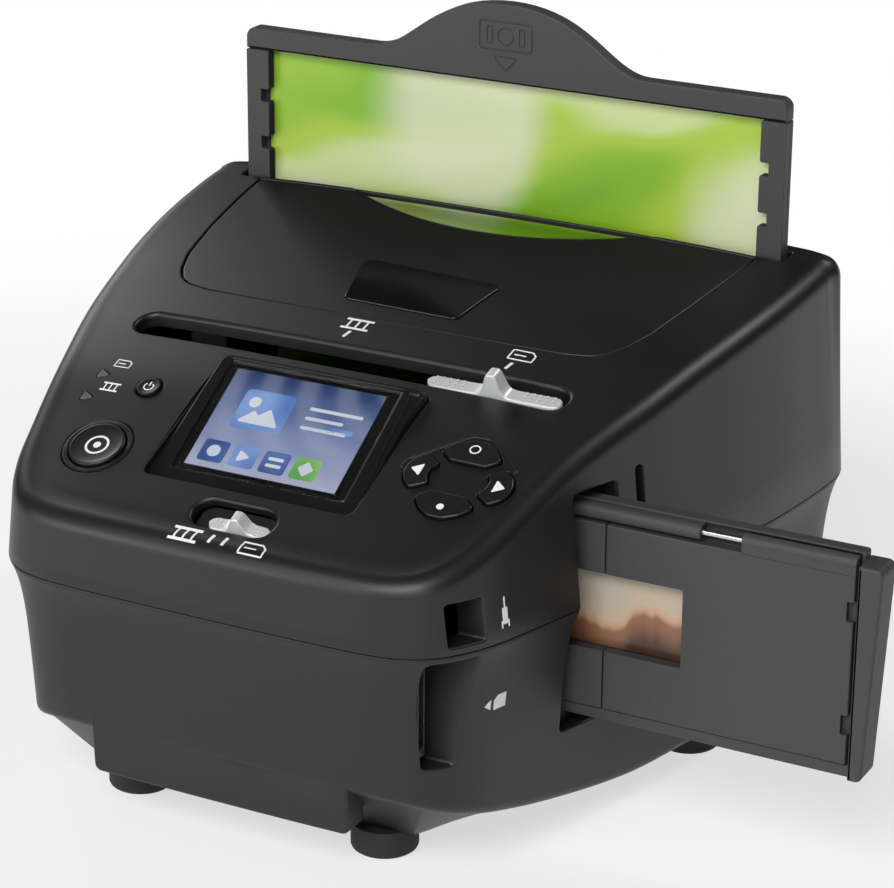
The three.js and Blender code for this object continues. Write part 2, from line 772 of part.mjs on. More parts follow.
// Display
function displayBezel() {
  const { faceHalfWidth, baseHalfWidth, faceHigh, cornerRound, bezelThick, sink, lowV, tilt } = display;
  const base = bezelBase();
  const face = plateOutline(baseHalfWidth, faceHalfWidth, 0, faceHigh, cornerRound);
  const faceLevel = (v) => (v - lowV) * Math.tan(tilt) - sink;
  const rings = [
    base.map(([u, v]) => onPanel(u, v, -bezelThick)),
    base.map(([u, v]) => onPanel(u, v, Math.min(0, faceLevel(v)) - gap)),
    face.map(([u, w]) => onFace(u, w)),
  ];
  const middleV = (lowV + display.highV) / 2;
  const frame = ringBody(rings, onPanel(0, middleV, -bezelThick), onFace(0, faceHigh / 2));
  const pocketDepth = 2 * gap + display.windowThick;
  const pocket = facePrism(windowShape(gap), -pocketDepth, overrun);
  const view = facePrism(activeShape(display.rim + gap), -overrun, overrun);
  const floorLow = -pocketDepth - display.floorThick;
  const under = facePrism(activeShape(display.moduleMargin + gap), -overrun, floorLow);
  return cut(frame, [pocket, view, under]);
}

function windowShape(grow) {
  const { windowU, windowW, windowHalfWidth, windowHalfHeight } = display;
  return rectangle(windowU, windowW, windowHalfWidth + grow, windowHalfHeight + grow);
}

function activeShape(grow) {
  const { activeU, activeW, activeHalfWidth, activeHalfHeight } = display;
  return rectangle(activeU, activeW, activeHalfWidth + grow, activeHalfHeight + grow);
}

function displayPane() {
  return facePrism(windowShape(0), -gap - display.windowThick, -gap);
}

function displayModule() {
  const pictureTop = -display.windowThick - 2 * gap;
  const plateTop = pictureTop - gap - display.floorThick;
  const picture = facePrism(activeShape(display.rim), plateTop - gap, pictureTop);
  const plate = facePrism(activeShape(display.moduleMargin), plateTop - display.moduleThick, plateTop);
  return picture.add(plate);
}

// Push button: a cap a little above the housing and a flange under its wall
function pushButton(capShape, flangeShape, lift, segments) {
  const cap = underSurface(panelPrism(capShape, -overrun, overrun, segments), lift);
  const flange = panelPrism(flangeShape, -overrun, overrun, segments);
  const under = upperBody.translate([0, 0, -button.flangeDrop]);
  return cap.add(flange.intersect(under)).subtract(under.translate([0, 0, -button.flangeThick]));
}

function roundButton(spec) {
  return pushButton(
    circle(spec.u, spec.v, spec.radius),
    circle(spec.u, spec.v, spec.radius + button.flange),
    spec.lift,
    facets / 2,
  );
}

function padButton(outline) {
  return pushButton(polygon(outline), polygon(grown(outline, button.flange - gap)), pad.lift);
}

// Ring let into the panel round the scan button
function scanRingSpace(grow) {
  const outer = panelPrism(circle(scan.u, scan.v, scan.ringRadius + grow), -overrun, overrun, facets / 2);
  return outer.subtract(upperBody.translate([0, 0, -scan.ringDepth - grow]));
}

function scanRing() {
  const { u, v, ringRadius, radius } = scan;
  const disc = panelPrism(circle(u, v, ringRadius), -overrun, overrun, facets / 2);
  const bore = panelPrism(circle(u, v, radius + button.hollow), -overrun, overrun, facets / 2);
  const layer = underSurface(disc, gap).subtract(upperBody.translate([0, 0, -scan.ringDepth]));
  return layer.subtract(bore);
}

function indicator(v) {
  return underSurface(panelPrism(lampShape(v, 0), -lamp.depth, overrun), lamp.lift);
}

// Side view of a thumb piece that rises from its base in two hollow curves
function hillShape(x, low, high, half, topHalf) {
  const shape = new THREE.Shape();
  shape.moveTo(x - half, low);
  shape.lineTo(x + half, low);
  shape.quadraticCurveTo(x + topHalf, low, x + topHalf, high);
  shape.lineTo(x - topHalf, high);
  shape.quadraticCurveTo(x - topHalf, low, x - half, low);
  return shape;
}

const upperFlangeFrontY = upperSlot.y - upperKnob.flangeHalfDepth;
const upperFlangeTop = topZ(housing.halfWidth, upperFlangeFrontY) - housing.wall - gap;

function upperSlider() {
  const {
    x, drop, halfLength, radius, finHalf, finTopHalf, finRise, finDepthHalf,
    flangeHalfLength, flangeHalfDepth, flangeThick,
  } = upperKnob;
  const surface = topZ(0, upperSlot.y);
  const { y } = upperSlot;
  return joined([
    prism(stadium(x, y, halfLength - radius, radius), upperFlangeTop - flangeThick, surface - drop),
    frontPrism(
      hillShape(x, surface - drop - gap, surface + finRise, finHalf, finTopHalf),
      y - finDepthHalf,
      y + finDepthHalf,
    ),
    block(
      [x - flangeHalfLength, y - flangeHalfDepth, upperFlangeTop - flangeThick],
      [x + flangeHalfLength, y + flangeHalfDepth, upperFlangeTop],
    ),
  ]);
}

function lowerSlider() {
  const {
    u, drop, halfLength, radius, finHalf, finTopHalf, finRise, finDepthHalf,
    flangeHalfLength, flangeHalfDepth, flangeThick, flangeDrop,
  } = lowerKnob;
  const { v } = lowerSlot;
  return joined([
    panelPrism(stadium(u, v, halfLength - radius, radius), -flangeDrop - gap, -drop),
    panelRidge(hillShape(u, -drop - gap, finRise, finHalf, finTopHalf), v - finDepthHalf, v + finDepthHalf),
    panelPrism(rectangle(u, v, flangeHalfLength, flangeHalfDepth), -flangeDrop - flangeThick, -flangeDrop),
  ]);
}

// Photo tray
function trayOutline() {
  const { halfWidth, jointZ, barTopZ, humpTopZ, humpHalf, humpShoulder, humpCrown, cornerRadius } = tray;
  const shape = new THREE.Shape();
  shape.moveTo(-halfWidth, jointZ);
  shape.lineTo(halfWidth, jointZ);
  shape.quadraticCurveTo(halfWidth, barTopZ, halfWidth - cornerRadius, barTopZ);
  shape.lineTo(humpHalf, barTopZ);
  shape.bezierCurveTo(humpShoulder, barTopZ, humpCrown, humpTopZ, 0, humpTopZ);
  shape.bezierCurveTo(-humpCrown, humpTopZ, -humpShoulder, barTopZ, -humpHalf, barTopZ);
  shape.lineTo(-halfWidth + cornerRadius, barTopZ);
  shape.quadraticCurveTo(-halfWidth, barTopZ, -halfWidth, jointZ);
  return shape;
}

const trayBackY = tray.frontY + tray.thick;
const trayPlateY = trayBackY - tray.plateThick;

function trayBack() {
  const bar = frontPrism(trayOutline(), tray.frontY, trayBackY, facets / 2);
  const plate = block(
    [-tray.halfWidth, trayPlateY, tray.bottomZ],
    [tray.halfWidth, trayBackY, tray.jointZ + gap],
  );
  const pocket = block(
    [-print.halfWidth - gap, trayPlateY - gap, print.topZ - print.height - gap],
    [print.halfWidth + gap, trayPlateY + print.pocket, print.topZ + gap],
  );
  return bar.add(plate).subtract(pocket);
}

function trayFrame() {
  const backY = trayPlateY - gap;
  const outer = block(
    [-tray.halfWidth, tray.frontY, tray.bottomZ],
    [tray.halfWidth, backY, tray.jointZ - gap],
  );
  const inner = tray.halfWidth - tray.railWidth;
  const view = block(
    [-inner, tray.frontY - overrun, tray.bottomZ + tray.bottomBar],
    [inner, backY + overrun, tray.jointZ + overrun],
  );
  const notches = [-1, 1].flatMap((side) => Array.from({ length: tray.notchCount }, (_, i) => {
    const top = tray.notchTopZ - i * tray.notchPitch;
    const x = side * inner;
    return block(
      [x - tray.notch, tray.frontY - overrun, top - tray.notchHeight],
      [x + tray.notch, backY + overrun, top],
    );
  }));
  return cut(outer, [view, ...notches]);
}

function photoPrint() {
  const y = trayPlateY + print.pocket - print.thick - gap;
  return block(
    [-print.halfWidth, y, print.topZ - print.height],
    [print.halfWidth, y + print.thick, print.topZ],
  );
}

function trayRail(side) {
  const edge = tray.halfWidth + gap;
  const xs = (inner, outer) => (side > 0 ? [inner, outer] : [-outer, -inner]);
  const [x0, x1] = xs(tray.halfWidth - trayGuide.lip, edge + trayGuide.wall);
  const [c0, c1] = xs(tray.halfWidth - trayGuide.lip - overrun, edge);
  const body = block(
    [x0, tray.frontY - gap - trayGuide.wall, trayGuide.lowZ],
    [x1, trayBackY + gap + trayGuide.wall, trayGuide.topZ],
  );
  const channel = block(
    [c0, tray.frontY - gap, tray.bottomZ - tray.travelDown - gap],
    [c1, trayBackY + gap, trayGuide.topZ + overrun],
  );
  return body.subtract(channel);
}

// Film holder
const lidBackY = holder.frontY + holder.lidThick;
const frameFrontY = lidBackY + gap;

function filmWindows(frontY, backY) {
  return Array.from({ length: film.count }, (_, i) => {
    const x = film.firstX - i * film.pitch;
    return block(
      [x - film.gateWidth / 2, frontY, film.z - film.gateHeight / 2],
      [x + film.gateWidth / 2, backY, film.z + film.gateHeight / 2],
    );
  });
}

function handle() {
  const {
    handleX, outerX, handleFrontY, handleBackY, bottomZ, handleTopZ, handleTaper, handleCorner,
  } = holder;
  const lowX = outerX - handleTaper;
  const outline = polygon([
    [handleX, bottomZ], [lowX - handleCorner, bottomZ], [lowX, bottomZ + handleCorner],
    [outerX, handleTopZ - handleCorner], [outerX - handleCorner, handleTopZ], [handleX, handleTopZ],
  ]);
  return frontPrism(outline, handleFrontY, handleBackY);
}

function holderFrame() {
  const { innerX, plateEndX, outerX, bottomZ, lipFrontY, lipTopZ } = holder;
  const { endMargin, side, depth } = filmPocket;
  const endX = holder.handleX + gap;
  const plate = block([innerX, frameFrontY, bottomZ], [endX, holder.backY, holder.topZ]);
  const lip = block([innerX, lipFrontY, bottomZ], [endX, frameFrontY + gap, lipTopZ]);
  const barrel = hingeRod(hinge.radius, innerX, hinge.frameEndX);
  const knuckleRoom = hingeRod(hinge.radius + 2 * gap, hinge.frameEndX, plateEndX);
  const bore = hingeRod(hinge.pinRadius + gap, hinge.pinStartX - gap, outerX);
  const pocket = block(
    [innerX + endMargin, frameFrontY - gap, film.z - film.width / 2 - side],
    [plateEndX - endMargin, frameFrontY + depth, film.z + film.width / 2 + side],
  );
  const windows = filmWindows(lidBackY, holder.backY + overrun);
  return cut(joined([plate, lip, barrel]), [knuckleRoom, pocket, bore, ...windows]).add(handle());
}

function hingeRod(radius, low, high) {
  return crossRod(hinge.y, hinge.z, radius, low, high, facets / 2);
}

function leafPlate(innerX, outerX) {
  return block([innerX, holder.frontY, lid.bottomZ], [outerX, lidBackY, lid.topZ]);
}

function innerLeaf() {
  const windows = filmWindows(holder.frontY - overrun, frameFrontY + gap);
  return cut(leafPlate(holder.innerX, lid.leafX - gap), windows);
}

function outerLeaf() {
  const knuckle = hingeRod(hinge.radius, hinge.lidStartX, lid.endX);
  const web = block([hinge.lidStartX, holder.frontY, lid.topZ - gap], [lid.endX, hinge.y, hinge.z]);
  const bore = hingeRod(hinge.pinRadius + gap, hinge.lidStartX - overrun, lid.endX - 2 * gap);
  const windows = filmWindows(holder.frontY - overrun, frameFrontY + gap);
  return cut(joined([leafPlate(lid.leafX, lid.endX), knuckle, web]), [bore, ...windows]);
}

function hingePin() {
  return hingeRod(hinge.pinRadius, hinge.pinStartX, lid.endX - 3 * gap);
}

function filmStrip() {
  const y = frameFrontY + filmPocket.depth - gap - film.thick;
  return block(
    [holder.innerX + filmPocket.endMargin + gap, y, film.z - film.width / 2],
    [holder.plateEndX - filmPocket.endMargin - gap, y + film.thick, film.z + film.width / 2],
  );
}

// Guide channels and posts round the holder
function filmGate() {
  const { innerX, outerX, wall, postWidth, bottomZ, topZ: top } = gate;
  const frontY = holder.frontY - gate.slack;
  const backY = holder.backY + gate.slack;
  const bar = (low, high) => block([innerX, frontY - wall, low], [outerX, backY + wall, high]);
  const post = (x, y) => block([x, y, bottomZ], [x + postWidth, y + wall, top]);
  const way = block(
    [innerX - overrun, frontY, holder.bottomZ - gap],
    [outerX + overrun, backY, holder.topZ + gap],
  );
  return joined([
    bar(bottomZ, holder.bottomZ + gate.channel),
    bar(holder.topZ - gate.channel, top),
    ...[innerX, outerX - postWidth].flatMap((x) => [post(x, frontY - wall), post(x, backY)]),
  ]).subtract(way);
}

// Camera
function cameraBody() {
  const { half, frontY, backY, bottomZ, barrelFrontY, barrelRadius, lensRadius, lensThick } = camera;
  const shell = block([-half, backY, bottomZ], [half, frontY, camera.topZ]);
  const barrel = forwardRod(0, film.z, barrelRadius, frontY - lensThick, barrelFrontY);
  const seatY = barrelFrontY - lensThick - gap;
  return shell.add(barrel).subtract(forwardRod(0, film.z, lensRadius + gap, seatY, barrelFrontY + overrun));
}

function cameraLens() {
  const { lensRadius, barrelFrontY, lensThick } = camera;
  return forwardRod(0, film.z, lensRadius, barrelFrontY - lensThick, barrelFrontY);
}

function cameraStand() {
  return block(
    [-camera.standHalf, camera.standBackY, camera.standBottomZ],
    [camera.standHalf, camera.standFrontY, camera.bottomZ - gap],
  );
}

// Lens carriage hung from the lower slider
function lensFrame() {
  const { halfWidth, frontY, thick, bottomZ, armZ, armThick, armHalf, windowRadius } = lensCarriage;
  const x = lowerKnob.u;
  const plate = block([x - halfWidth, frontY, bottomZ], [x + halfWidth, frontY + thick, armZ + armThick]);
  const slotY = lowerSlot.v * Math.cos(panelSlope);
  const flangeLow = -lowerKnob.flangeDrop - lowerKnob.flangeThick;
  const arm = block([x - armHalf, slotY, armZ], [x + armHalf, frontY + thick, armZ + armThick]);
  const stem = panelPrism(
    rectangle(x, lowerSlot.v + lowerKnob.flangeHalfDepth / 2, lensCarriage.stemHalf, lensCarriage.stemHalf),
    flangeLow - overrun,
    flangeLow - gap,
  );
  const under = block([x - halfWidth, slotY - overrun, armZ - overrun * 2], [x + halfWidth, frontY, armZ]);
  const hole = forwardRod(x, film.z, windowRadius, frontY - overrun, frontY + thick + overrun);
  return cut(joined([plate, arm, stem.subtract(under)]), [hole]);
}

function closeUpLens() {
  const { frontY, thick, windowRadius } = lensCarriage;
  return forwardRod(lowerKnob.u, film.z, windowRadius - gap, frontY + gap, frontY + thick - gap);
}

// Backlight carriage hung from the upper slider
function backlightFrame() {
  const { x, half, frontY, thick, bottomZ, topZ: top, armHalf } = backlight;
  const arms = [upperKnob.x - armHalf, upperKnob.x + armHalf];
  const under = upperFlangeTop - upperKnob.flangeThick - gap;
  const plate = block([x - half, frontY, bottomZ], [x + half, frontY + thick, top]);
  const arm = block([arms[0], frontY, top - thick], [arms[1], frontY + thick, under]);
  const backY = upperSlot.y + upperKnob.flangeHalfDepth;
  const shelf = block([arms[0], frontY, under - thick], [arms[1], backY, under]);
  return joined([plate, arm, shelf]);
}

function backlightLamp() {
  const { x, frontY, lampThick, lampHalfWidth, lampHalf } = backlight;
  return block(
    [x - lampHalfWidth, frontY - gap - lampThick, film.z - lampHalf],
    [x + lampHalfWidth, frontY - gap, film.z + lampHalf],
  );
}

function photoLampBar(side) {
  const { x, y, halfWidth, halfDepth, bottomZ, topZ: top } = photoLamp;
  return block(
    [side * x - halfWidth, y - halfDepth, bottomZ],
    [side * x + halfWidth, y + halfDepth, top],
  );
}

// Boards and sockets
function controlPlate() {
  const { halfWidth, lowV, highV, drop, thick } = controlBoard;
  const middle = (lowV + highV) / 2;
  return panelPrism(rectangle(0, middle, halfWidth, (highV - lowV) / 2), -drop - thick, -drop);
}

function portPlate() {
  const { frontY, thick, innerX, outerX, bottomZ, topZ: top } = portBoard;
  return block([innerX, frontY, bottomZ], [outerX, frontY + thick, top]);
}

function cardSlotSocket() {
  const backY = portBoard.frontY - gap;
  const { innerX, outerX, thick, bottomZ, topZ: top, slot, slotHalf, slotDepth } = cardSocket;
  const body = block([innerX, backY - thick, bottomZ], [outerX, backY, top]);
  const middleZ = (bottomZ + top) / 2;
  const middle = backY - thick / 2;
  const way = block(
    [outerX - slotDepth, middle - slot / 2, middleZ - slotHalf],
    [outerX + overrun, middle + slot / 2, middleZ + slotHalf],
  );
  return body.subtract(way);
}

function usbPort() {
  const backY = portBoard.frontY - gap;
  const { innerX, outerX, thick, bottomZ, topZ: top, rim, depth } = usbSocket;
  const body = block([innerX, backY - thick, bottomZ], [outerX, backY, top]);
  const way = block(
    [outerX - depth, backY - thick + rim, bottomZ + rim],
    [outerX + overrun, backY - rim, top - rim],
  );
  return body.subtract(way);
}

function mainPlate() {
  const { innerX, outerX, frontY, backY, z, thick } = mainBoard;
  return block([innerX, frontY, z], [outerX, backY, z + thick]);
}

// Feet and screws
function footPad(x, y) {
  const top = housing.keelZ + foot.recess - gap;
  const profile = [
    [0, 0], [foot.radius - foot.lip, 0], [foot.radius, foot.lip], [foot.radius, top], [0, top],
  ].map(([r, z]) => new THREE.Vector2(r, z));
  const geometry = new THREE.LatheGeometry(profile, facets);
  geometry.rotateX(Math.PI / 2);
  geometry.translate(x, y, 0);
  return solid(geometry);
}

function screw(x, y) {
  const seat = housing.keelZ + caseScrew.sink - gap;
  const head = uprightRod(x, y, caseScrew.headRadius, seat - caseScrew.headHeight, seat, screwFacets);
  const shank = uprightRod(x, y, caseScrew.shank, seat - gap, seat + caseScrew.shankLength, screwFacets);
  return head.add(shank);
}

// Materials
const paint = {
  blackPlastic: { color: 0x17181a, roughness: 0.42 },
  lowerPlastic: { color: 0x15161a, roughness: 0.48 },
  glossBlack: { color: 0x0c0c0e, roughness: 0.16 },
  charcoal: { color: 0x2b2c2e, roughness: 0.62 },
  silver: { color: 0xc3c6c9, roughness: 0.34, metalness: 0.7 },
  keyPlastic: { color: 0x141518, roughness: 0.38 },
  lens: { color: 0x8d939a, roughness: 0.2 },
  clear: { color: 0xdfe6ea, roughness: 0.05 },
  screen: { color: 0x3f63b4, roughness: 0.3 },
  paper: { color: 0x9fc65a, roughness: 0.3 },
  film: { color: 0x6a3a22, roughness: 0.2 },
  steel: { color: 0xb9bcc0, roughness: 0.3, metalness: 1 },
  rubber: { color: 0x101010, roughness: 0.9 },
  board: { color: 0x1d5a34, roughness: 0.6 },
  white: { color: 0xf2f2ec, roughness: 0.5 },
};

function material(name) {
  return new THREE.MeshStandardMaterial({ metalness: 0, ...paint[name] });
}

const model = new THREE.Group();
model.position.set(-(holder.outerX - housing.halfWidth) / 2, -middleY, 0);

function place(parent, name, body, look) {
  const mesh = new THREE.Mesh(geometryOf(body), material(look));
  mesh.name = name;
  parent.add(mesh);
}

const base = new THREE.Group();
const photoTray = new THREE.Group();
const filmHolder = new THREE.Group();
const controls = new THREE.Group();
const insides = new THREE.Group();
model.add(base, photoTray, filmHolder, controls, insides);

place(base, 'upper_housing', upperHousing(), 'blackPlastic');
place(base, 'lower_housing', lowerHousing(), 'lowerPlastic');
place(base, 'top_cover', topCover(), 'blackPlastic');
place(base, 'badge_plate', badgePlate(), 'glossBlack');
footSpots().forEach(([x, y], i) => place(base, `foot_${i + 1}`, footPad(x, y), 'rubber'));
screwSpots().forEach(([x, y], i) => place(base, `case_screw_${i + 1}`, screw(x, y), 'steel'));

place(controls, 'display_bezel', displayBezel(), 'glossBlack');
place(controls, 'display_window', displayPane(), 'clear');
place(controls, 'display_module', displayModule(), 'screen');
place(controls, 'scan_ring', scanRing(), 'keyPlastic');
place(controls, 'scan_button', roundButton(scan), 'keyPlastic');
place(controls, 'power_button', roundButton(power), 'keyPlastic');
Object.entries(padOutlines).forEach(([side, outline]) => (
  place(controls, `pad_${side}`, padButton(outline), 'keyPlastic')
));
lampVs.forEach((v, i) => place(controls, `indicator_${i + 1}`, indicator(v), 'lens'));
place(controls, 'light_slider', upperSlider(), 'silver');
place(controls, 'lens_slider', lowerSlider(), 'silver');

place(photoTray, 'tray_back', trayBack(), 'charcoal');
place(photoTray, 'tray_frame', trayFrame(), 'charcoal');
place(photoTray, 'photo_print', photoPrint(), 'paper');

place(filmHolder, 'holder_frame', holderFrame(), 'charcoal');
place(filmHolder, 'holder_inner_leaf', innerLeaf(), 'charcoal');
place(filmHolder, 'holder_lid', outerLeaf(), 'charcoal');
place(filmHolder, 'hinge_pin', hingePin(), 'steel');
place(filmHolder, 'film_strip', filmStrip(), 'film');

place(insides, 'chassis', chassis(), 'keyPlastic');
place(insides, 'film_gate', filmGate(), 'keyPlastic');
place(insides, 'tray_guide_left', trayRail(-1), 'keyPlastic');
place(insides, 'tray_guide_right', trayRail(1), 'keyPlastic');
place(insides, 'camera_body', cameraBody(), 'keyPlastic');
place(insides, 'camera_lens', cameraLens(), 'clear');
place(insides, 'camera_stand', cameraStand(), 'keyPlastic');
place(insides, 'lens_carriage', lensFrame(), 'keyPlastic');
place(insides, 'close_up_lens', closeUpLens(), 'clear');
place(insides, 'light_carriage', backlightFrame(), 'keyPlastic');
place(insides, 'film_backlight', backlightLamp(), 'white');
place(insides, 'photo_lamp_left', photoLampBar(-1), 'white');
place(insides, 'photo_lamp_right', photoLampBar(1), 'white');
place(insides, 'control_board', controlPlate(), 'board');
place(insides, 'main_board', mainPlate(), 'board');
place(insides, 'port_board', portPlate(), 'board');
place(insides, 'card_socket', cardSlotSocket(), 'steel');
place(insides, 'usb_socket', usbPort(), 'steel');

export default model;
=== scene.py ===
import math

import bmesh
import bpy
import numpy as np
from mathutils import Matrix, Vector
from mathutils.bvhtree import BVHTree
from mathutils.interpolate import poly_3d_calc


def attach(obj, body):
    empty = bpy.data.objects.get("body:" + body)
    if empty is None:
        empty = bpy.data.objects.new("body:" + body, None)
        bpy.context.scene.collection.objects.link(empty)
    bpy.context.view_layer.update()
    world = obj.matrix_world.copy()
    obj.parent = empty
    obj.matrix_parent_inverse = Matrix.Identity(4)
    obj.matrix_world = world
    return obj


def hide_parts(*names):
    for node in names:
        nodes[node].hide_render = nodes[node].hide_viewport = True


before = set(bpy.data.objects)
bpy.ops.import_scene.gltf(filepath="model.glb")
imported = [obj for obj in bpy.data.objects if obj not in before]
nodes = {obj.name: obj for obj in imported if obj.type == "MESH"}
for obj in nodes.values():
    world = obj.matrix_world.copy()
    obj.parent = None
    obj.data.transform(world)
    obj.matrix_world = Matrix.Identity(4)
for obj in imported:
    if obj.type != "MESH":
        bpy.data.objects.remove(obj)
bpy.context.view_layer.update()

MM = 0.001
ORIGIN = np.array([-30.7, -52.5, 0.0])

# Housing surfaces
HALF_WIDTH, FRONT_Y, DEPTH, HEIGHT = 117.0, -48.5, 202.0, 148.0
SEAM_Z, WALL, GAP = 75.0, 2.6, 0.3
KEEL_Z, BOW_RISE, BOW_SHARE, KEEL_INSET = 8.0, 19.0, 0.5, 15.0
EDGE_ROUND, KEEL_ROUND, LEAST_ROUND = 6.5, 4, 1
SIDE_DRAFT, FRONT_DRAFT_MORE, REAR_DRAFT_LESS = 0.09, 0.01, 0.07
LEAN_STEP, LEAN_FADE, LEAN_DRAFT = 3.6, 8, 0.055
FRONT_CROWN, MIDDLE_CROWN, REAR_CROWN = 6.4, 3.9, 3.4
CROWN_SHARE, CROWN_POWER = 0.4, 3
PLAN_SHARES = [
    (0, 0), (0.19, 0.0005), (0.359, 0.0025), (0.462, 0.0064), (0.534, 0.0162), (0.59, 0.0344),
    (0.637, 0.0644), (0.684, 0.1138), (0.728, 0.1904), (0.78, 0.2896), (0.861, 0.438), (0.905, 0.542),
    (0.943, 0.641), (0.976, 0.7525), (0.994, 0.849), (1, 0.918), (0.989, 0.961), (0.951, 0.988),
    (0.89, 0.999), (0.76, 1), (0.38, 1), (0, 1),
]
DEPTH_SHARES = np.array([
    0, 0.0516, 0.1155, 0.189, 0.2875, 0.371, 0.435, 0.533, 0.6314, 0.7297, 0.828, 0.926, 1])
HEIGHT_SHARES = np.array([
    0.625, 0.6639, 0.7034, 0.7498, 0.8101, 0.8463, 0.8699, 0.9026, 0.9304, 0.9532, 0.972, 0.9884, 0.998])
MIDDLE_Y = FRONT_Y + DEPTH / 2


def profile_height(back):
    """Height shares of the side profile: the smooth curve through its points that the solids follow."""
    t = np.clip(np.asarray(back, float), 0, 1)
    last = len(DEPTH_SHARES) - 1
    right = np.clip(np.searchsorted(DEPTH_SHARES, t, side="right"), 1, last)
    left = right - 1
    before = np.where(right > 1, right - 2, right)
    after = np.where(right < last, right + 1, left)
    t0, t1 = DEPTH_SHARES[left], DEPTH_SHARES[right]
    reach = (t1 - t0) / 2
    pull_in = reach / (t0 - DEPTH_SHARES[before])
    pull_out = reach / (DEPTH_SHARES[after] - t1)
    p = (t - t0) / (t1 - t0)
    h = HEIGHT_SHARES
    return ((-pull_in * p**3 + 2 * pull_in * p**2 - pull_in * p) * h[before]
            + ((1 + pull_in) * p**3 + (-1.5 - 2 * pull_in) * p**2 + (-0.5 + pull_in) * p + 1) * h[left]
            + ((-1 - pull_out) * p**3 + (1.5 + pull_out) * p**2 + 0.5 * p) * h[right]
            + (pull_out * p**3 - pull_out * p**2) * h[after])


def top_z(x, y):
    """Height of the housing's top, which falls away from the middle to both sides."""
    back = np.clip((np.asarray(y, float) - FRONT_Y) / DEPTH, 0, 1)
    crown = np.where(
        back < CROWN_SHARE,
        FRONT_CROWN + (MIDDLE_CROWN - FRONT_CROWN) * back / CROWN_SHARE,
        MIDDLE_CROWN + (REAR_CROWN - MIDDLE_CROWN) * (back - CROWN_SHARE) / (1 - CROWN_SHARE))
    return profile_height(back) * HEIGHT - crown * (np.abs(x) / HALF_WIDTH) ** CROWN_POWER


def closed_curve(points, count):
    """Points and outward normals of a closed centripetal curve through points, anticlockwise."""
    points = np.asarray(points, float)
    at = np.arange(count) / count * len(points)
    i = at.astype(int)
    w = (at - i)[:, None]
    p0, p1, p2, p3 = (points[(i + k) % len(points)] for k in (-1, 0, 1, 2))
    chords = (p1 - p0, p2 - p1, p3 - p2)
    d0, d1, d2 = (np.sum(chord ** 2, axis=1, keepdims=True) ** 0.25 for chord in chords)
    m1 = ((p1 - p0) / d0 - (p2 - p0) / (d0 + d1) + (p2 - p1) / d1) * d1
    m2 = ((p2 - p1) / d1 - (p3 - p1) / (d1 + d2) + (p3 - p2) / d2) * d1
    c2, c3 = -3 * p1 + 3 * p2 - 2 * m1 - m2, 2 * p1 - 2 * p2 + m1 + m2
    spot = p1 + m1 * w + c2 * w**2 + c3 * w**3
    along = m1 + 2 * c2 * w + 3 * c3 * w**2
    along /= np.linalg.norm(along, axis=1, keepdims=True)
    return spot, np.stack([along[:, 1], -along[:, 0]], axis=1)


def mirrored(points):
    """The points of a right half on the left, in turn, without the one in the middle."""
    return [(-x, y) for x, y in points[1:]][::-1]


def plan_outline(count):
    right = [(x * HALF_WIDTH, FRONT_Y + y * DEPTH) for x, y in PLAN_SHARES]
    return closed_curve(right + mirrored(right[:-1]), count)


def plan_steps(count):
    """The plan outline, its outward normals, and a function that sets it inwards at a height."""
    spot, out = plan_outline(count)

    def at(inward, z):
        xy = spot - out * np.reshape(inward, (-1, 1))
        return np.column_stack([xy, np.broadcast_to(z, len(xy))])
    return spot, out, at


def lower_lean(z):
    """How far the lower wall stands inwards at z."""
    below = np.maximum(0, SEAM_Z - z)
    return LEAN_STEP * (1 - np.exp(-below / LEAN_FADE)) + LEAN_DRAFT * below


def keel_edge(y):
    back = np.clip((y - FRONT_Y) / DEPTH, 0, 1)
    return KEEL_Z + BOW_RISE * np.maximum(0, 1 - back / BOW_SHARE) ** 2


def upper_rings(inset, bottom, count, walls=5, rounds=9, decks=30, rim=0.25):
    """Rings of the upper hull: up the wall, over the rounding and across the deck to its middle."""
    _, out, at = plan_steps(count)
    front, rear = np.maximum(0, -out[:, 1]), np.maximum(0, out[:, 1])
    draft = SIDE_DRAFT + FRONT_DRAFT_MORE * front - REAR_DRAFT_LESS * rear
    curve = max(EDGE_ROUND - inset, LEAST_ROUND)

    def lean(z):
        return inset + draft * np.maximum(0, z - SEAM_Z)

    # The rounding ends on the deck, whose height hangs on the wall's lean there: a few rounds settle it
    wall_top = HEIGHT
    for _ in range(6):
        shoulder = at(lean(wall_top) + curve, 0)
        wall_top = top_z(shoulder[:, 0], shoulder[:, 1]) - inset - curve
    rings = [at(lean(bottom) + rim, bottom)] if rim else []
    for share in np.linspace(0, 1, walls):
        z = bottom + rim + (wall_top - bottom - rim) * share
        rings.append(at(lean(z), z))
    for share in np.linspace(0, 1, rounds + 1)[1:]:
        angle = share * math.pi / 2
        ring = at(lean(wall_top) + curve * (1 - math.cos(angle)), 0)
        ring[:, 2] = wall_top + curve * math.sin(angle)
        if share == 1:
            ring[:, 2] = top_z(ring[:, 0], ring[:, 1]) - inset
        rings.append(ring)
    edge = rings[-1]
    for share in np.linspace(0, 1, decks + 2)[1:-1]:
        x, y = edge[:, 0] * (1 - share), edge[:, 1] + (MIDDLE_Y - edge[:, 1]) * share
        rings.append(np.column_stack([x, y, top_z(x, y) - inset]))
    return rings, [0, MIDDLE_Y, bottom], [0, MIDDLE_Y, float(top_z(0, MIDDLE_Y)) - inset]


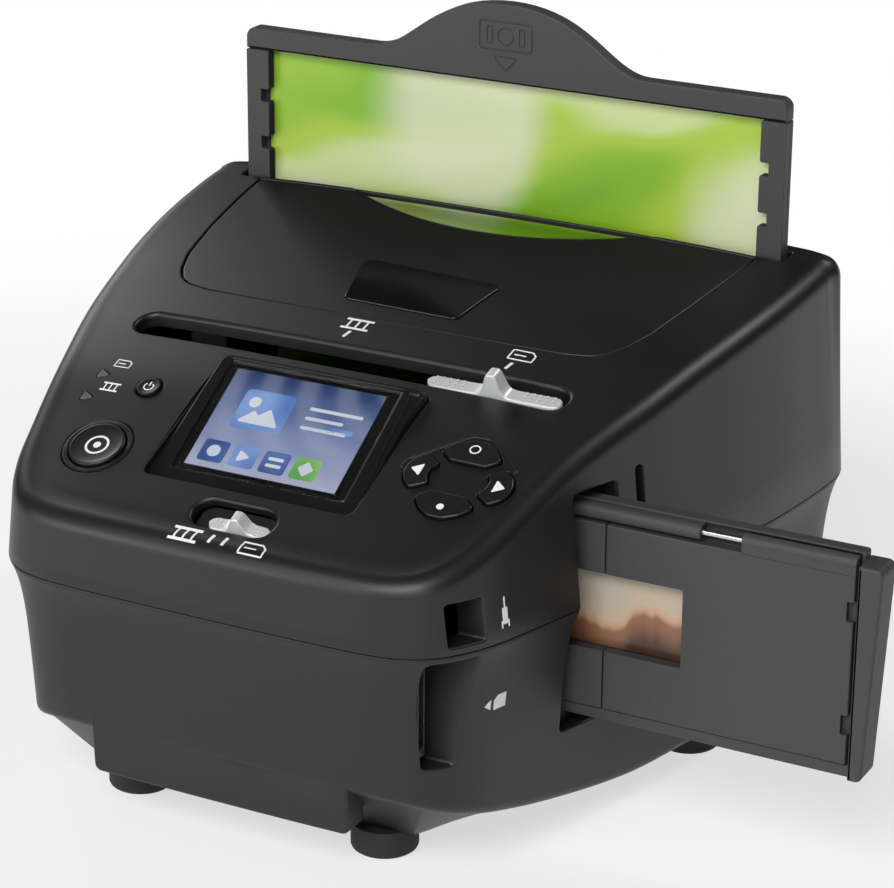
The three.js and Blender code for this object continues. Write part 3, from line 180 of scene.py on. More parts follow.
def lower_rings(inset, top, count, walls=22, rounds=7, rim=0.25):
    """Rings of the lower hull, from the keel's flat up round its edge and up the wall."""
    spot, _, at = plan_steps(count)
    curve = max(KEEL_ROUND - inset, LEAST_ROUND)
    bottom = keel_edge(spot[:, 1]) + inset + curve
    rings = [at(inset + lower_lean(bottom) + curve + KEEL_INSET, KEEL_Z + inset)]
    for share in np.linspace(1, 0, rounds + 1)[:-1]:
        angle = share * math.pi / 2
        rings.append(at(inset + lower_lean(bottom) + curve * (1 - math.cos(angle)),
                        bottom - curve * math.sin(angle)))
    # Closer together towards the seam, where the wall bends most
    for share in np.linspace(0, 1, walls) ** 0.6:
        z = bottom + (top - rim - bottom) * share
        rings.append(at(inset + lower_lean(z), z))
    if rim:
        rings.append(at(inset + lower_lean(top) + rim, top))
    return rings, [0, MIDDLE_Y, KEEL_Z + inset], [0, MIDDLE_Y, top]


# Meshes
def mesh_object(name, points, faces):
    mesh = bpy.data.meshes.new(name)
    mesh.from_pydata(((np.asarray(points, float) + ORIGIN) * MM).tolist(), [], faces)
    mesh.update()
    made = bpy.data.objects.new(name, mesh)
    bpy.context.scene.collection.objects.link(made)
    return made


def ring_faces(rings, count, wrap=False):
    faces = []
    for ring in range(rings if wrap else rings - 1):
        low, high = ring * count, (ring + 1) % rings * count
        faces += [(low + i, low + (i + 1) % count, high + (i + 1) % count, high + i) for i in range(count)]
    return faces


def loft(name, rings, first=None, last=None):
    """Closed body through rings of equal length; first and last are the middles of its end caps."""
    count, points = len(rings[0]), np.concatenate(rings)
    faces = ring_faces(len(rings), count)
    base = (len(rings) - 1) * count
    if first is None:
        faces += [tuple(range(count))[::-1], tuple(range(base, base + count))]
        return mesh_object(name, points, faces)
    top = len(points)
    faces += [(top, (i + 1) % count, i) for i in range(count)]
    faces += [(top + 1, base + i, base + (i + 1) % count) for i in range(count)]
    return mesh_object(name, np.concatenate([points, [first, last]]), faces)


def tube(name, rings):
    """Closed ring-shaped body: each ring is joined to the next, and the last to the first."""
    made = mesh_object(name, np.concatenate(rings), ring_faces(len(rings), len(rings[0]), wrap=True))
    return outward(made)


def outward(made):
    work = bmesh.new()
    work.from_mesh(made.data)
    bmesh.ops.recalc_face_normals(work, faces=work.faces)
    work.to_mesh(made.data)
    work.free()
    return made


def plain_copy(made):
    """Replaces an object's mesh by the result of its modifiers."""
    graph = bpy.context.evaluated_depsgraph_get()
    mesh = bpy.data.meshes.new_from_object(made.evaluated_get(graph), depsgraph=graph)
    made.modifiers.clear()
    old, made.data = made.data, mesh
    bpy.data.meshes.remove(old)
    mesh.name = made.name
    return made


def discard(*objects):
    for item in objects:
        mesh = item.data
        bpy.data.objects.remove(item)
        if not mesh.users:
            bpy.data.meshes.remove(mesh)


def probe(mesh):
    """Number of corners and a sum over the first of them, by which a changed mesh is told."""
    return len(mesh.vertices), sum(v.co.length for v in mesh.vertices[:400])


def combine(made, tools, operation="DIFFERENCE"):
    """Cuts or adds the tools one by one; where one solver leaves the piece as it was, the other tries."""
    for tool in tools:
        for solver in ("MANIFOLD", "EXACT"):
            before = probe(made.data)
            modifier = made.modifiers.new("shape", "BOOLEAN")
            modifier.operation, modifier.object, modifier.solver = operation, tool, solver
            backup = made.data.copy()
            plain_copy(made)
            after = probe(made.data)
            if after[0] > 3 and after != before:
                bpy.data.meshes.remove(backup)
                break
            empty, made.data = made.data, backup
            bpy.data.meshes.remove(empty)
            print("boolean", solver, "left", made.name, "as it was with", tool.name)
        discard(tool)
    return made


def joined(name, objects):
    """One object from several, with their meshes side by side."""
    work = bmesh.new()
    for item in objects:
        work.from_mesh(item.data)
    mesh = bpy.data.meshes.new(name)
    work.to_mesh(mesh)
    work.free()
    made = bpy.data.objects.new(name, mesh)
    bpy.context.scene.collection.objects.link(made)
    discard(*objects)
    return made


def above_plane(made, z, keep_upper):
    """Keeps what lies above a level, or below it, and closes the cut."""
    work = bmesh.new()
    work.from_mesh(made.data)
    plane = bmesh.ops.bisect_plane(
        work, geom=work.verts[:] + work.edges[:] + work.faces[:], clear_inner=keep_upper,
        clear_outer=not keep_upper, plane_co=(0, 0, z * MM), plane_no=(0, 0, 1))
    edges = [item for item in plane["geom_cut"] if isinstance(item, bmesh.types.BMEdge)]
    bmesh.ops.holes_fill(work, edges=edges)
    work.to_mesh(made.data)
    work.free()
    return made


class Guide:
    """A smooth surface whose normals a cut piece takes over where it still lies on it."""

    def __init__(self, source, lift=0.0):
        self.points = [v.co + Vector((0, 0, lift * MM)) for v in source.data.vertices]
        self.normals = [v.normal.copy() for v in source.data.vertices]
        self.faces = [tuple(p.vertices) for p in source.data.polygons]
        self.tree = BVHTree.FromPolygons(self.points, self.faces)

    def normal_at(self, spot, reach):
        found, _, face, _ = self.tree.find_nearest(spot, reach)
        if found is None:
            return None
        corners = self.faces[face]
        shares = poly_3d_calc([self.points[i] for i in corners], found)
        total = Vector()
        for i, share in zip(corners, shares):
            total += self.normals[i] * share
        return total.normalized() if total.length > 1e-6 else None

    def reach_from(self, spot, direction):
        return self.tree.ray_cast(Vector(spot), Vector(direction))[0]


SAME_WAY = 0.86


def shade(made, angle=32, guides=(), reach=0.02):
    """Smooth shading that keeps edges over angle, flat faces flat and guided faces true."""
    mesh = made.data
    mesh.polygons.foreach_set("use_smooth", [True] * len(mesh.polygons))
    mesh.set_sharp_from_angle(angle=math.radians(angle))
    modifier = made.modifiers.new("weights", "WEIGHTED_NORMAL")
    modifier.keep_sharp = True
    plain_copy(made)
    mesh = made.data
    if not guides:
        return made
    normals = np.zeros(len(mesh.loops) * 3, np.float32)
    mesh.corner_normals.foreach_get("vector", normals)
    normals = normals.reshape(-1, 3)
    found = {}
    for polygon in mesh.polygons:
        flat = polygon.normal
        for loop, vertex in zip(polygon.loop_indices, polygon.vertices):
            if vertex not in found:
                found[vertex] = [guide.normal_at(mesh.vertices[vertex].co, reach * MM) for guide in guides]
            for normal in found[vertex]:
                if normal is not None and flat.dot(normal) > SAME_WAY:
                    normals[loop] = normal
    mesh.normals_split_custom_set(normals.tolist())
    return made


# Flat outlines
NEARLY_STRAIGHT, MOST_OF_SIDE_SHARE = math.radians(172), 0.48


def moved_out(points, grow):
    points = np.asarray(points, float)
    edge = np.roll(points, -1, axis=0) - points
    normal = np.stack([edge[:, 1], -edge[:, 0]], axis=1) / np.linalg.norm(edge, axis=1, keepdims=True)
    before = np.roll(normal, 1, axis=0)
    reach = np.reshape(grow / np.maximum(1 + np.sum(before * normal, axis=1), 0.3), (-1, 1))
    return points + (before + normal) * reach


def rounded(corners, radius, steps=6):
    """Closed outline with its corners turned into arcs; radius is one number or one for each corner."""
    corners = [np.array(c, float) for c in corners]
    radii = radius if hasattr(radius, "__len__") else [radius] * len(corners)
    outline = []
    for i, here in enumerate(corners):
        before, after = corners[i - 1] - here, corners[(i + 1) % len(corners)] - here
        a, b = np.linalg.norm(before), np.linalg.norm(after)
        before, after = before / a, after / b
        angle = math.acos(float(np.clip(before @ after, -1, 1)))
        if angle > NEARLY_STRAIGHT or radii[i] <= 0:
            outline.append(here)
            continue
        run = min(radii[i] / math.tan(angle / 2), MOST_OF_SIDE_SHARE * a, MOST_OF_SIDE_SHARE * b)
        start, end = here + before * run, here + after * run
        for step in range(steps + 1):
            t = step / steps
            bend = 1 / math.sin(angle / 2)
            weight = 2 * t * (1 - t) / bend
            total = (1 - t) ** 2 + weight + t**2
            outline.append((start * (1 - t) ** 2 + here * weight + end * t**2) / total)
    return np.array(outline)


def circle(x, y, radius, count=64):
    turn = np.arange(count) / count * 2 * math.pi
    return np.stack([x + radius * np.cos(turn), y + radius * np.sin(turn)], axis=1)


def box_outline(x0, y0, x1, y1, radius=0.0):
    return rounded([(x0, y0), (x1, y0), (x1, y1), (x0, y1)], radius)


def centred(x, y, half_width, half_height, radius=0.0):
    return box_outline(x - half_width, y - half_height, x + half_width, y + half_height, radius)


def stadium(x, y, half_length, radius, steps=24):
    """Long hole with round ends."""
    right = [(x + half_length + radius * math.sin(a), y - radius * math.cos(a))
             for a in np.linspace(0, math.pi, steps)]
    left = [(x - half_length - radius * math.sin(a), y + radius * math.cos(a))
            for a in np.linspace(0, math.pi, steps)]
    return np.array(right + left)


def spaced(points, step):
    """The closed outline with extra points, so that no side is longer than step."""
    result = []
    for i, here in enumerate(points):
        after = points[(i + 1) % len(points)]
        pieces = max(1, math.ceil(np.linalg.norm(after - here) / step))
        result += [here + (after - here) * k / pieces for k in range(pieces)]
    return np.array(result)


# Places on the housing
# The lean of the panel's plane and its height at y = 0
SLOPE = 0.42584104
PANEL_Z = 115.5205057
SIN, COS = math.sin(SLOPE), math.cos(SLOPE)


def on_panel(u, v, n):
    """Points u across, v up the slope and n out of the panel's plane."""
    return np.stack([u, v * COS - n * SIN, PANEL_Z + v * SIN + n * COS], axis=-1)


def panel_place(flat, depth):
    """Points at a constant height over the panel's plane; depth counts down."""
    return on_panel(flat[:, 0], flat[:, 1], np.full(len(flat), -float(depth)))


def panel_skin(lift=0.0):
    """Places outline points square to the panel on the housing's real surface."""
    def place(flat, depth):
        u, v = flat[:, 0], flat[:, 1]
        n = np.zeros(len(flat))
        # Each round closes most of what is left between the point and the surface
        for _ in range(12):
            spot = on_panel(u, v, n)
            n += (top_z(spot[:, 0], spot[:, 1]) - spot[:, 2]) * COS
        return on_panel(u, v, n + lift - depth)
    return place


def roof_skin(lift=0.0):
    def place(flat, depth):
        return np.column_stack([flat, top_z(flat[:, 0], flat[:, 1]) + lift - depth])
    return place


TILT, LOW_V, SINK = math.radians(7.6), -26.4, 2.4
VIEW_U, VIEW_W = -0.7, 26.6
WINDOW_COUNT, WINDOW_PITCH, WINDOW_X, WINDOW_Z = 4, 42, 101.5, 73
WINDOW_HALF_X, WINDOW_HALF_Z = 18, 12
WINDOWS = [WINDOW_X - i * WINDOW_PITCH for i in range(WINDOW_COUNT)]


def face_place(flat, depth):
    """Points on the tilted display face."""
    turned = SLOPE + TILT
    start = on_panel(0.0, LOW_V, -SINK)
    w, n = flat[:, 1], -float(depth)
    return np.stack([flat[:, 0], start[1] + w * math.cos(turned) - n * math.sin(turned),
                     start[2] + w * math.sin(turned) + n * math.cos(turned)], axis=-1)


def front_place(flat, depth):
    """Outline in x and z; depth is y itself."""
    return np.column_stack([flat[:, 0], np.full(len(flat), float(depth)), flat[:, 1]])


def level_place(flat, depth):
    """Outline in x and y; depth counts down from z = 0."""
    return np.column_stack([flat, np.full(len(flat), -float(depth))])


def side_place(flat, depth):
    """Outline in y and z; depth counts back from x = 0."""
    return np.column_stack([np.full(len(flat), -float(depth)), flat])


def slab(name, outline, place, low, high, round_low=0.0, round_high=0.0, steps=5):
    """Prism between two depths, high being the outer one, with rounded rims."""
    rings = []
    span = 1 if low > high else -1
    if round_low:
        for k in range(steps + 1):
            a = math.pi / 2 * (1 - k / steps)
            rings.append(place(moved_out(outline, -round_low * (1 - math.cos(a))),
                               low - span * round_low * (1 - math.sin(a))))
    else:
        rings.append(place(outline, low))
    if round_high:
        for k in range(steps + 1):
            a = math.pi / 2 * k / steps
            rings.append(place(moved_out(outline, -round_high * (1 - math.cos(a))),
                               high + span * round_high * (1 - math.sin(a))))
    else:
        rings.append(place(outline, high))
    return outward(loft(name, rings))


def lip(name, outline, place, radius, depth, opening=True, steps=6):
    """Rounded rim of an opening, or of a plug, with its wall down to depth and a closed back."""
    sign = 1 if opening else -1
    rings = []
    for k in range(steps + 1):
        a = math.pi / 2 * k / steps
        edge = moved_out(outline, sign * radius * (1 - math.sin(a)))
        rings.append(place(edge, radius * (1 - math.cos(a))))
    rings.append(place(outline, depth))
    rings.append(place(moved_out(outline, sign * radius), depth))
    return tube(name, rings)


def ridge(name, path, place, width, height, sunk=0.25, closed=False, steps=5):
    """Half-round bead along a flat path, or the tool for a groove of that shape."""
    path = np.asarray(path, float)
    along = np.gradient(path, axis=0)
    if closed:
        along = np.roll(path, -1, axis=0) - np.roll(path, 1, axis=0)
    along /= np.linalg.norm(along, axis=1, keepdims=True)
    across = np.stack([along[:, 1], -along[:, 0]], axis=1)
    section = [(math.cos(a) * width / 2, -math.sin(a) * height) for a in np.linspace(0, math.pi, steps + 2)]
    section += [(-width / 2, sunk), (width / 2, sunk)]
    columns = np.array([place(path + across * offset, depth) for offset, depth in section])
    count, length = len(section), len(path)
    points = columns.transpose(1, 0, 2).reshape(-1, 3)
    faces = ring_faces(length, count, wrap=closed)
    if not closed:
        faces += [tuple(range(count))[::-1], tuple(range((length - 1) * count, length * count))]
    return outward(mesh_object(name, points, faces))


# Finishes
def shader_group(name, inputs, outputs):
    """New node group with its given sockets and its output node."""
    group = bpy.data.node_groups.new(name, "ShaderNodeTree")
    for label, kind, value in inputs:
        group.interface.new_socket(label, in_out="INPUT", socket_type=kind).default_value = value
    for label, kind in outputs:
        group.interface.new_socket(label, in_out="OUTPUT", socket_type=kind)
    return group, group.nodes.new("NodeGroupInput").outputs, group.nodes.new("NodeGroupOutput")


def feed(tree, node, values):
    """Writes each value into its input, or links it there where it is another node's output."""
    for key, value in dict(values).items():
        if isinstance(value, bpy.types.NodeSocket):
            tree.links.new(value, node.inputs[key])
        else:
            node.inputs[key].default_value = value


def add_node(tree, kind, values=(), **settings):
    node = tree.nodes.new(kind)
    for key, value in settings.items():
        setattr(node, key, value)
    feed(tree, node, values)
    return node


def maths(tree, operation, first, second):
    """Output of a node that works out one number from two."""
    return add_node(tree, "ShaderNodeMath", {0: first, 1: second}, operation=operation).outputs[0]


def spread_over(tree, value, limits, **settings):
    """Output of a node that maps a value from one span to another."""
    return add_node(tree, "ShaderNodeMapRange", {"Value": value, **limits}, **settings).outputs["Result"]


def blended(tree, share, first, second):
    """Output of a node that mixes two colours."""
    return add_node(tree, "ShaderNodeMix", {"Factor": share, "A": first, "B": second},
                    data_type="RGBA").outputs["Result"]


def object_place(tree):
    return add_node(tree, "ShaderNodeTexCoord").outputs["Object"]


def moulded_grain():
    """Fine spark-eroded texture and the slow change of tone that a moulding has."""
    group, given, out = shader_group(
        "moulded_grain",
        [("Place", "NodeSocketVector", (0, 0, 0)), ("Fineness", "NodeSocketFloat", 2500.0),
         ("Tone Size", "NodeSocketFloat", 30.0)],
        [("Height", "NodeSocketFloat"), ("Tone", "NodeSocketFloat")])
    place, fineness = given["Place"], given["Fineness"]
    fine = add_node(group, "ShaderNodeTexNoise", {
        "Vector": place, "Scale": fineness, "Detail": 2.0, "Roughness": 0.65})
    cells = add_node(group, "ShaderNodeTexVoronoi", {"Vector": place, "Scale": fineness, "Randomness": 1.0})
    slow = add_node(group, "ShaderNodeTexNoise", {
        "Vector": place, "Scale": given["Tone Size"], "Detail": 3.0, "Roughness": 0.5})
    height = add_node(group, "ShaderNodeMath", {
        0: cells.outputs["Distance"], 1: 0.35, 2: fine.outputs["Fac"]}, operation="MULTIPLY_ADD")
    feed(group, out, {"Height": height.outputs[0], "Tone": slow.outputs["Fac"]})
    return group


def settled_dust():
    """Sparse specks and soft fingertip marks, as a mask."""
    group, given, out = shader_group(
        "settled_dust",
        [("Place", "NodeSocketVector", (0, 0, 0)), ("Amount", "NodeSocketFloat", 0.3)],
        [("Mask", "NodeSocketFloat")])
    specks = add_node(group, "ShaderNodeTexVoronoi", {
        "Vector": given["Place"], "Scale": 520.0, "Randomness": 1.0})
    clouds = add_node(group, "ShaderNodeTexNoise", {
        "Vector": given["Place"], "Scale": 46.0, "Detail": 4.0, "Roughness": 0.6})
    dots = spread_over(group, specks.outputs["Distance"], {"From Min": 0.13, "From Max": 0.05})
    marks = spread_over(group, clouds.outputs["Fac"], {"From Min": 0.52, "From Max": 0.72, "To Max": 0.6})
    either = maths(group, "MAXIMUM", dots, marks)
    feed(group, out, {"Mask": maths(group, "MULTIPLY", either, given["Amount"])})
    return group


GRAIN, DUST = moulded_grain(), settled_dust()


def material(name, **inputs):
    """New material; the names of the shader's inputs are written with low lines for spaces."""
    made = bpy.data.materials.new(name)
    made.use_nodes = True
    shader = made.node_tree.nodes["Principled BSDF"]
    feed(made.node_tree, shader, {label.replace("_", " "): value for label, value in inputs.items()})
    return made, made.node_tree, shader


def colour(value, scale=1.0):
    return tuple(min(1.0, channel * scale) for channel in value) + (1.0,)


def dust_mask(tree, place, amount):
    specks = add_node(tree, "ShaderNodeGroup", node_tree=DUST)
    feed(tree, specks, {"Place": place, "Amount": amount})
    return specks.outputs["Mask"]


def surface(name, tone, roughness, fineness=2500.0, depth=0.00003, spread=0.1, rough_spread=0.05, dust=0.25,
            metallic=0.0, coat=0.0, tone_size=30.0, bump=0.5):
    """Moulded, painted or rolled surface with grain, a slow change of tone and a little dust."""
    made, tree, shader = material(name, Metallic=metallic, Coat_Weight=coat, Coat_Roughness=0.06)
    place = object_place(tree)
    grain = add_node(tree, "ShaderNodeGroup", node_tree=GRAIN)
    feed(tree, grain, {"Place": place, "Fineness": fineness, "Tone Size": tone_size})
    drift, mask = grain.outputs["Tone"], dust_mask(tree, place, dust)
    shades = blended(tree, drift, colour(tone, 1 - spread), colour(tone, 1 + spread))
    dusty = colour([0.5 * c + 0.02 for c in tone])
    rough = spread_over(tree, drift, {
        "To Min": roughness - rough_spread, "To Max": roughness + rough_spread})
    worn = add_node(tree, "ShaderNodeMath", {0: mask, 1: 0.12, 2: rough}, operation="MULTIPLY_ADD",
                    use_clamp=True)
    feed(tree, shader, {"Base Color": blended(tree, maths(tree, "MULTIPLY", mask, 0.3), shades, dusty),
                        "Roughness": worn.outputs[0]})
    if depth:
        relief = add_node(tree, "ShaderNodeBump", {
            "Strength": bump, "Distance": depth, "Height": grain.outputs["Height"]})
        feed(tree, shader, {"Normal": relief.outputs["Normal"]})
    return made


def clear(name, tone, roughness):
    """Clear moulded pane or lens with a faint haze of finger marks."""
    made, tree, shader = material(name, Transmission_Weight=1.0, IOR=1.49, Base_Color=colour(tone))
    mask = dust_mask(tree, object_place(tree), 0.5)
    haze = spread_over(tree, mask, {"To Min": roughness, "To Max": roughness + 0.08})
    feed(tree, shader, {"Roughness": haze})
    return made


def turned_place(tree, origin, angle):
    """Object coordinates turned about X and moved to origin, in metres."""
    turn = add_node(tree, "ShaderNodeMapping", {
        "Vector": object_place(tree), "Location": tuple((np.asarray(origin) + ORIGIN) * MM),
        "Rotation": (angle, 0, 0)}, vector_type="TEXTURE")
    return turn.outputs["Vector"]


def ramp(tree, share, stops, interpolation="EASE"):
    """Output of a colour ramp: stops lists places and tones."""
    node = add_node(tree, "ShaderNodeValToRGB", {"Fac": share})
    node.color_ramp.interpolation = interpolation
    while len(node.color_ramp.elements) < len(stops):
        node.color_ramp.elements.new(0.5)
    for element, (at, tone) in zip(node.color_ramp.elements, stops):
        element.position, element.color = at, colour(tone)
    return node.outputs["Color"]


def display_place(tree):
    """Object coordinates from the middle of the display, flat on its face."""
    return turned_place(tree, face_place(np.array([[VIEW_U, VIEW_W]]), 0)[0], SLOPE + TILT)


def lit_picture():
    """Blue picture of the display: a soft fall of light with broad slanting bands."""
    made, tree, shader = material("display_picture", Emission_Strength=0.62,
                                  Base_Color=(0.01, 0.01, 0.015, 1), Roughness=0.3)
    place = display_place(tree)
    parts = add_node(tree, "ShaderNodeSeparateXYZ", {0: place})
    rise = spread_over(tree, parts.outputs["Y"], {"From Min": -0.018, "From Max": 0.018})
    sky = ramp(tree, rise, [(0.0, (0.60, 0.64, 0.86)), (0.35, (0.36, 0.43, 0.72)),
                            (0.75, (0.12, 0.19, 0.44)), (1.0, (0.03, 0.07, 0.22))])
    centre = add_node(tree, "ShaderNodeMapping", {"Vector": place, "Location": (-0.03, -0.022, 0)})
    bands = add_node(tree, "ShaderNodeTexWave", {
        "Vector": centre.outputs["Vector"], "Scale": 26.0, "Distortion": 0.6, "Detail": 1.0},
        wave_type="RINGS", rings_direction="SPHERICAL")
    soft = spread_over(tree, bands.outputs["Fac"], {"To Max": 0.22}, interpolation_type="SMOOTHSTEP")
    feed(tree, shader, {"Emission Color": blended(tree, soft, sky, (0.72, 0.78, 0.95, 1))})
    return made


def lit_tile(name, low, high):
    """Small lit key of the display, fading from low to high."""
    made, tree, shader = material(name, Emission_Strength=0.75, Base_Color=(0.01, 0.01, 0.015, 1),
                                  Roughness=0.3)
    wave = add_node(tree, "ShaderNodeTexNoise", {
        "Vector": display_place(tree), "Scale": 70.0, "Detail": 0.0})
    feed(tree, shader, {"Emission Color": ramp(tree, wave.outputs["Fac"], [(0.25, low), (0.75, high)])})
    return made


def picture_paper():
    """Glossy print of out-of-focus leaves: soft greens, yellows and white light."""
    made, tree, shader = material("leaf_light_print", Roughness=0.28)
    place = object_place(tree)
    slant = add_node(tree, "ShaderNodeMapping", {
        "Vector": place, "Rotation": (0, math.radians(52), 0), "Scale": (9.0, 1.0, 24.0)})
    leaves = add_node(tree, "ShaderNodeTexNoise", {
        "Vector": slant.outputs["Vector"], "Scale": 1.0, "Detail": 1.5, "Roughness": 0.35,
        "Distortion": 0.4})
    greens = ramp(tree, leaves.outputs["Fac"], [
        (0.30, (0.06, 0.20, 0.02)), (0.44, (0.20, 0.42, 0.02)), (0.56, (0.36, 0.52, 0.05)),
        (0.66, (0.52, 0.62, 0.28)), (0.76, (0.66, 0.68, 0.56))])
    glow = add_node(tree, "ShaderNodeTexNoise", {
        "Vector": place, "Scale": 11.0, "Detail": 0.0, "Distortion": 0.3})
    lights = spread_over(tree, glow.outputs["Fac"], {"From Min": 0.52, "From Max": 0.68, "To Max": 0.75},
                         interpolation_type="SMOOTHSTEP")
    picture = blended(tree, lights, greens, (0.66, 0.68, 0.50, 1))
    # Bright to the camera alone, so that the black shell round it stays free of green light
    rays = add_node(tree, "ShaderNodeLightPath")
    feed(tree, shader, {"Base Color": blended(
        tree, rays.outputs["Is Camera Ray"], (0.03, 0.04, 0.02, 1), picture)})
    return made


def picture_film():
    """Slide film: dark borders and, in each frame, soft hills under a pale sky."""
    made, tree, shader = material("slide_film", Roughness=0.22)
    parts = add_node(tree, "ShaderNodeSeparateXYZ", {0: turned_place(tree, (WINDOWS[0], 0, WINDOW_Z), 0)})
    along, up = parts.outputs["X"], parts.outputs["Z"]
    swell = add_node(tree, "ShaderNodeTexNoise", {
        "W": along, "Scale": 42.0, "Detail": 3.0, "Roughness": 0.55}, noise_dimensions="1D")
    hills = add_node(tree, "ShaderNodeMath", {
        0: swell.outputs["Fac"], 1: 0.024, 2: -0.012}, operation="MULTIPLY_ADD").outputs[0]
    height = spread_over(tree, maths(tree, "SUBTRACT", up, hills), {"From Min": -0.013, "From Max": 0.012})
    land = ramp(tree, height, [
        (0.0, (0.05, 0.025, 0.015)), (0.36, (0.24, 0.11, 0.06)), (0.47, (0.52, 0.33, 0.20)),
        (0.53, (0.48, 0.38, 0.28)), (1.0, (0.42, 0.38, 0.31))])
    from_middle = maths(tree, "PINGPONG", along, WINDOW_PITCH * MM / 2)
    inside_x = maths(tree, "LESS_THAN", from_middle, (WINDOW_HALF_X + 0.2) * MM)
    off_middle = add_node(tree, "ShaderNodeMath", {0: up}, operation="ABSOLUTE").outputs[0]
    inside_z = maths(tree, "LESS_THAN", off_middle, (WINDOW_HALF_Z + 0.2) * MM)
    inside = maths(tree, "MULTIPLY", inside_x, inside_z)
    feed(tree, shader, {"Base Color": blended(tree, inside, (0.012, 0.009, 0.008, 1), land)})
    return made


# Each has its tone, roughness, grain per metre and depth of the grain in metres, then the spread of its
# tone and of its roughness, and its dust
BLACK = surface("satin_black_shell", (0.0070, 0.0070, 0.0073), 0.42, 2600, 0.000025, 0.08, 0.04, 0.2)
# The lower shell uses the shell's black made a little lighter in tone: painted light, standing in for the
# brighter light that falls on the lower walls
LOWER = surface("satin_black_base_painted_lighter", (0.0080, 0.0080, 0.0083), 0.46, 2600, 0.000025, 0.08, 0.04, 0.2)
GLOSS = surface("gloss_black", (0.006, 0.006, 0.0063), 0.14, 900, 0.000002, 0.05, 0.03, 0.15, coat=0.4)
BEZEL = surface("bezel_black", (0.0070, 0.0070, 0.0073), 0.28, 2200, 0.000012, 0.06, 0.04, 0.15)
KEYS = surface("key_black", (0.0080, 0.0080, 0.0083), 0.36, 2400, 0.000018, 0.06, 0.04, 0.15)
INNER = surface("inner_black", (0.012, 0.012, 0.012), 0.55, 1800, 0.00004, 0.1, 0.05, 0.3)
CHARCOAL = surface("grained_charcoal", (0.038, 0.038, 0.039), 0.58, 1500, 0.00009, 0.09, 0.05, 0.1, bump=0.8)
SILVER = surface("silver_paint", (0.62, 0.63, 0.64), 0.34, 1900, 0.00001, 0.05, 0.06, 0.15, metallic=0.25)
LENS_GREY = surface("smoked_indicator", (0.10, 0.10, 0.105), 0.25, 1500, 0.000005, 0.1, 0.03, 0.1, coat=0.3)
STEEL = surface("bright_steel", (0.56, 0.57, 0.58), 0.26, 1200, 0.000006, 0.08, 0.08, 0.2, metallic=1.0)
RUBBER = surface("matt_rubber", (0.014, 0.014, 0.014), 0.78, 1100, 0.00006, 0.15, 0.06, 0.5)
BOARD = surface("dark_solder_mask", (0.010, 0.022, 0.014), 0.35, 800, 0.00001, 0.15, 0.06, 0.3, coat=0.3)
DIFFUSER = surface("white_diffuser", (0.78, 0.78, 0.75), 0.5, 900, 0.00002, 0.03, 0.04, 0.15)
MARK = surface("white_print", (0.80, 0.80, 0.80), 0.45, 1500, 0.000004, 0.03, 0.04, 0.1)
PANE = clear("clear_pane", (0.97, 0.975, 0.98), 0.02)
LENS = clear("coated_lens", (0.90, 0.93, 0.97), 0.01)
PAPER, FILM, PICTURE = picture_paper(), picture_film(), lit_picture()
TILE_BLUE = lit_tile("lit_blue", (0.10, 0.22, 0.60), (0.30, 0.48, 0.90))
TILE_DEEP = lit_tile("lit_deep_blue", (0.04, 0.09, 0.30), (0.12, 0.22, 0.55))
TILE_GREEN = lit_tile("lit_green", (0.10, 0.42, 0.10), (0.40, 0.75, 0.22))
TILE_PALE = lit_tile("lit_pale", (0.72, 0.80, 0.95), (0.92, 0.95, 1.0))


def paint(made, finish):
    made.data.materials.clear()
    made.data.materials.append(finish)
    return made


def fit(made, body, finish, slot, *replaced):
    """Paints a finished piece, sets it on its body and hides the plain solids it stands for."""
    if finish:
        paint(made, finish)
    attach(made, body)
    if replaced:
        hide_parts(*replaced)
    return made


# Housing
RIM_COUNT, INNER_COUNT, ABOVE_ALL_Z = 336, 168, 165
SEAM_CLEAR, OUTSIDE_X = 0.8, 220.0
outer_upper = loft("upper_surface", *upper_rings(0, SEAM_Z + GAP / 2, RIM_COUNT))
outer_lower = loft("lower_surface", *lower_rings(0, SEAM_Z - GAP / 2, RIM_COUNT))
upper_guide, lower_guide = Guide(outer_upper), Guide(outer_lower)


def lowered_copy(drop):
    """Body bounded by the housing's top surface, set down by drop."""
    made = bpy.data.objects.new("tool", outer_upper.data.copy())
    bpy.context.scene.collection.objects.link(made)
    made.data.transform(Matrix.Translation((0, 0, -drop * MM)))
    return made


def wall_place(flat, depth):
    """Outline in y and z on the right wall of the housing; depth counts inwards."""
    spots = []
    for y, z in flat:
        over = z >= SEAM_Z
        level = max(z, SEAM_Z + SEAM_CLEAR) if over else min(z, SEAM_Z - SEAM_CLEAR)
        start = (np.array([OUTSIDE_X, y, level]) + ORIGIN) * MM
        hit = (upper_guide if over else lower_guide).reach_from(start, (-1, 0, 0))
        spots.append((hit.x / MM - ORIGIN[0] - depth, y, z))
    return np.array(spots)


SKIRT_PROUD, FRONT_COUNT, FRONT_REACH = 0.03, 840, 40


def front_wall_y(x, z):
    spot, _ = plan_outline(FRONT_COUNT)
    near = spot[spot[:, 1] < MIDDLE_Y - FRONT_REACH]
    order = np.argsort(near[:, 0])
    return np.interp(x, near[order, 0], near[order, 1]) + lower_lean(z)


def skirt_place(flat, depth):
    wall = front_wall_y(flat[:, 0], flat[:, 1])
    return np.column_stack([flat[:, 0], wall - SKIRT_PROUD + depth, flat[:, 1]])


PANEL_REACH, SIDE_FROM_X, SIDE_TO_X = 12, 60, 129


def through_panel(outline, grow):
    return slab("tool", moved_out(outline, grow), panel_place, PANEL_REACH, -PANEL_REACH)


def through_side(outline, grow):
    return slab("tool", moved_out(outline, grow), side_place, -SIDE_FROM_X, -SIDE_TO_X)


def upright_tool(outline, grow, low, high):
    return slab("tool", moved_out(outline, grow), level_place, -low, -high)


def shifted(points, x, y):
    return [(a + x, b + y) for a, b in points]


